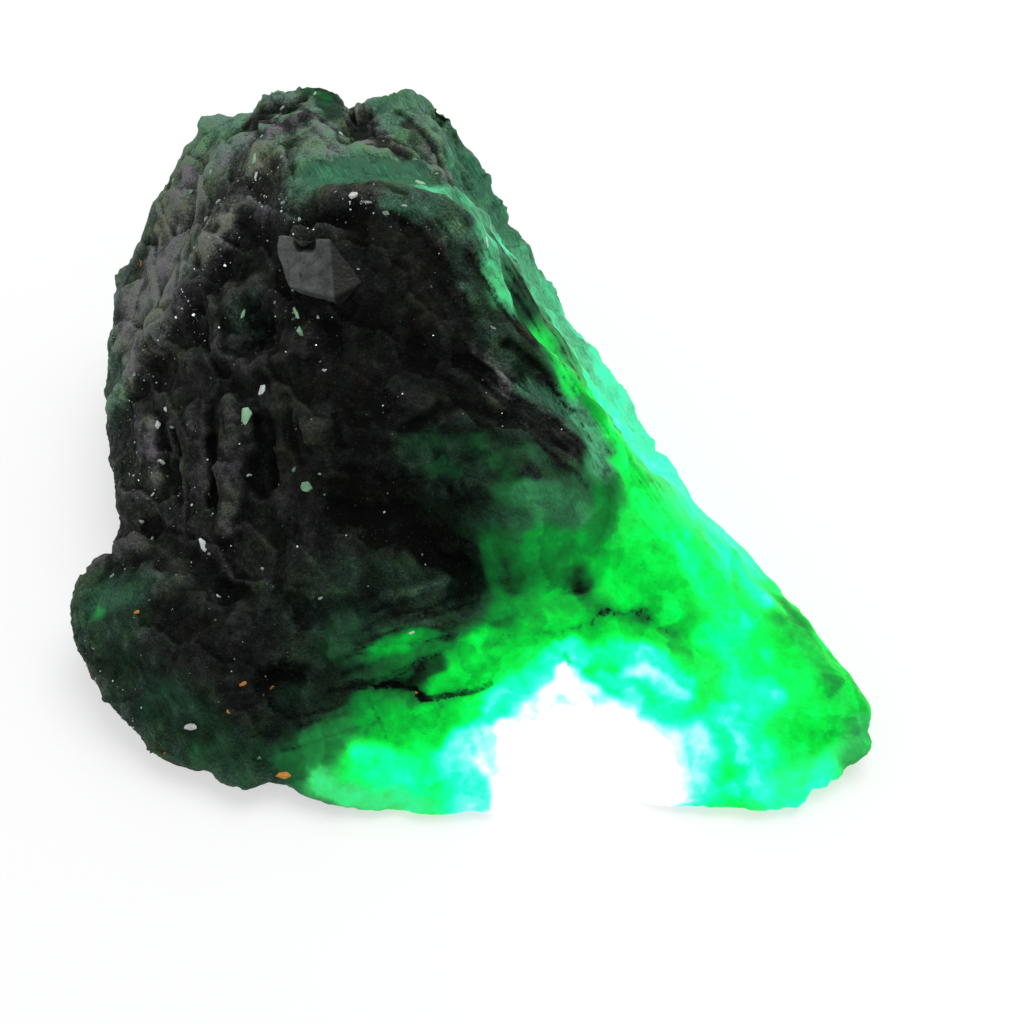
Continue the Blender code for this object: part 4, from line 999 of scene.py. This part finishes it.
def stoneMaterial(clouds, grain):
    made, graph, shader = newMaterial("emerald_in_schist")
    place = graph.place()
    mist = graph.group(clouds, Place=place, Size=beryl["mistSize"], Drift=1.2)["Value"]
    fleck = graph.group(clouds, Place=place, Size=beryl["fleckSize"], Drift=0.8)["Value"]
    crumbs = graph.group(grain, Place=place, Size=0.22, Specks=0.2)
    paintedGlow = paintedTorchGlow(graph, place, mist, fleck, crumbs)
    skin = schistSkin(graph, place, clouds, crumbs, paintedGlow)
    milky = graph.span(graph.attribute("paleAndPaintedShading"), 0.1, 0.6)
    light = graph.mix(milky, graph.ramp(paintedGlow, beryl["clear"]), graph.ramp(paintedGlow, beryl["milky"]))
    clear = graph.span(paintedGlow, 0.16, 0.34)
    shining = graph.span(paintedGlow, 0.16, 0.42)

    # painted light: the glow colour goes into the base colour and, as emission, makes the beryl shine as if a torch lit
    # it from below; there is no torch
    body = graph.mix(1.0, light, graph.span(shining, 0.0, 1.0, 1.0, beryl["body"]), "MULTIPLY")
    graph.set(shader["Base Color"], graph.mix(clear, skin, body))
    shining = graph.math("MULTIPLY", shining, beryl["glow"])
    shining = graph.math("ADD", shining, graph.span(paintedGlow, 0.95, 1.2, 0.0, beryl["torch"]))
    graph.set(shader["Emission Color"], graph.mix(1.0, light, shining, "MULTIPLY"))
    shader["Emission Strength"].default_value = beryl["strength"]
    made.cycles.emission_sampling = "NONE"  # the soft glow needs no light samples, which halves the render
    gloss = graph.span(clear, 0, 1, 0.5, 0.3)
    graph.set(shader["Roughness"], graph.math("ADD", graph.math("MULTIPLY", mist, 0.2), gloss))
    shader["Specular IOR Level"].default_value = 0.04
    height = graph.math("ADD", crumbs["Height"], graph.math("MULTIPLY", mist, 0.4))
    height = graph.math("MULTIPLY", height, graph.span(clear, 0, 1, 1.0, 0.3))
    bump = graph.node("ShaderNodeBump", None, {"Strength": 0.9, "Distance": 0.00014, "Height": height})
    graph.set(shader["Normal"], bump.outputs[0])
    return made


def feldsparMaterial(clouds, shards):
    made, graph, shader = newMaterial("pale_feldspar")
    place = graph.place()
    cloud = graph.group(clouds, Place=place, Size=0.9, Drift=0.8)["Value"]
    mist = graph.group(clouds, Place=place, Size=0.3, Drift=0.8)["Value"]
    shard = graph.group(shards, Place=place, Size=0.9, Softness=0.0, Drift=0.2)
    tint = graph.ramp(cloud, [(0.0, (0.03, 0.034, 0.034)), (0.5, (0.06, 0.066, 0.063)), (1.0, (0.095, 0.103, 0.095))])
    tint = graph.mix(graph.math("MULTIPLY", graph.attribute("dim"), 0.96), tint, (0.012, 0.013, 0.011))
    # painted shade in the pits
    tint = graph.mix(graph.math("MULTIPLY", graph.attribute("pit"), 0.9), tint, (0.014, 0.019, 0.013))
    spots = graph.span(mist, 0.02, 0.14, 0.7, 0.0)
    tint = graph.mix(spots, tint, (0.012, 0.013, 0.012))
    tint = graph.mix(graph.math("MULTIPLY", shard["Seam"], 0.3), tint, (0.02, 0.022, 0.02))
    graph.set(shader["Base Color"], tint)
    graph.set(shader["Roughness"], graph.span(mist, 0, 1, 0.22, 0.5))
    shader["Specular IOR Level"].default_value = 0.12
    height = graph.math("SUBTRACT", mist, shard["Seam"])
    bump = graph.node("ShaderNodeBump", None, {"Strength": 0.35, "Distance": 0.00008, "Height": height})
    graph.set(shader["Normal"], bump.outputs[0])
    return made


def flakeMaterial(clouds):
    made, graph, shader = newMaterial("mica_flake")
    place = graph.place()
    cloud = graph.group(clouds, Place=place, Size=1.2, Drift=0.4)["Value"]
    tone = graph.math("ADD", graph.attribute("tone"), leaning(graph, cloud, 0.2))
    tint = graph.ramp(tone, [(0.0, (0.03, 0.036, 0.033)), (0.4, (0.14, 0.17, 0.15)), (1.0, (0.85, 0.92, 0.88))])
    graph.set(shader["Base Color"], tint)
    graph.set(shader["Roughness"], graph.span(cloud, 0, 1, 0.35, 0.12))
    shader["Metallic"].default_value = 0.35
    shader["Coat Weight"].default_value = 0.6
    return made


grainTints = {
    "white_grains": ((0.1, 0.12, 0.11), (0.7, 0.76, 0.71)),
    "green_grains": ((0.025, 0.1, 0.05), (0.3, 0.55, 0.32)),
    "ochre_grains": ((0.07, 0.03, 0.006), (0.6, 0.24, 0.01)),
}


def grainMaterial(name, clouds, grain):
    made, graph, shader = newMaterial(name.rstrip("s") + "_crystal")
    place = graph.place()
    cloud = graph.group(clouds, Place=place, Size=0.5, Drift=0.6)["Value"]
    crumbs = graph.group(grain, Place=place, Size=0.12, Specks=0.2)
    low, high = grainTints[name]
    tint = graph.ramp(graph.math("ADD", graph.attribute("tone"), leaning(graph, cloud, 0.4)), [(0.0, low), (1.0, high)])
    graph.set(shader["Base Color"], graph.mix(crumbs["Speck"], tint, low))
    graph.set(shader["Roughness"], graph.span(cloud, 0, 1, 0.25, 0.5))
    bump = graph.node("ShaderNodeBump", None, {"Strength": 0.4, "Distance": 0.00005, "Height": crumbs["Height"]})
    graph.set(shader["Normal"], bump.outputs[0])
    return made


def ridesAs(piece, material):
    piece.data.materials.clear()
    piece.data.materials.append(material)
    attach(piece, "root")


studio = {
    "floorSize": 3.0, "floorColour": (0.37, 0.37, 0.37), "floorGlow": 0.555,
    "sky": (0.98, 0.99, 1.0), "skyStrength": 0.7,
    "keyPlace": (0.1, 0.1, 0.38), "keySize": 0.3, "keyPower": 1.1,
}


def buildStage():
    shape = bmesh.new()
    bmesh.ops.create_grid(shape, x_segments=1, y_segments=1, size=studio["floorSize"] / 2)
    floor = pieceFrom(shape, "pale_floor")
    floor.location.z = -0.02 * mm
    made, graph, shader = newMaterial("pale_floor_paper")
    shader["Base Color"].default_value = (*studio["floorColour"], 1)
    shader["Roughness"].default_value = 0.8
    shader["Specular IOR Level"].default_value = 0.1
    shader["Emission Color"].default_value = (1, 1, 1, 1)  # it glows evenly as if lit from below; the stone's glow is painted the same way
    shader["Emission Strength"].default_value = studio["floorGlow"]
    floor.data.materials.append(made)

    scene = bpy.context.scene
    world = bpy.data.worlds.new("studio")
    scene.world = world
    world.use_nodes = True
    sky = world.node_tree.nodes["Background"].inputs
    sky["Color"].default_value = (*studio["sky"], 1)
    sky["Strength"].default_value = studio["skyStrength"]
    key = bpy.data.lights.new("key", "AREA")
    key.size = studio["keySize"]
    key.energy = studio["keyPower"]
    keyLight = bpy.data.objects.new("key", key)
    keyLight.location = studio["keyPlace"]
    keyLight.rotation_euler = (-Vector(studio["keyPlace"])).to_track_quat("-Z", "Y").to_euler()
    scene.collection.objects.link(keyLight)

    lens = bpy.data.cameras.new("camera")
    lens.lens = view["lens"]
    lens.sensor_width = view["sensor"]
    lens.clip_start = 0.001
    camera = bpy.data.objects.new("camera", lens)
    camera.location = viewAxes()[0] * mm
    camera.rotation_euler = (math.radians(90 - view["elevation"]), 0, 0)
    scene.collection.objects.link(camera)
    scene.camera = camera
    scene.view_settings.view_transform = "Standard"


solid = solidTree()
clouds, shards, grain = cloudsGroup(), shardsGroup(), grainGroup()
stonePiece, skinPoints, skinNormals, skinCrust = buildStone()
ridesAs(stonePiece, stoneMaterial(clouds, grain))
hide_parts("raw_emerald")
ridesAs(buildFeldspar(), feldsparMaterial(clouds, shards))
print("feldspar done")
ridesAs(buildFlakes(skinPoints, skinNormals, skinCrust), flakeMaterial(clouds))
print("mica flakes done")
for name, slot in (("white_grains", "feldspar"), ("green_grains", "emerald_in_schist"), ("ochre_grains", "ochre_grain")):
    ridesAs(buildGrains(name, stonePiece), grainMaterial(name, clouds, grain))
print("grains done")
buildStage()

bpy.context.view_layer.update()
print("scene ready")
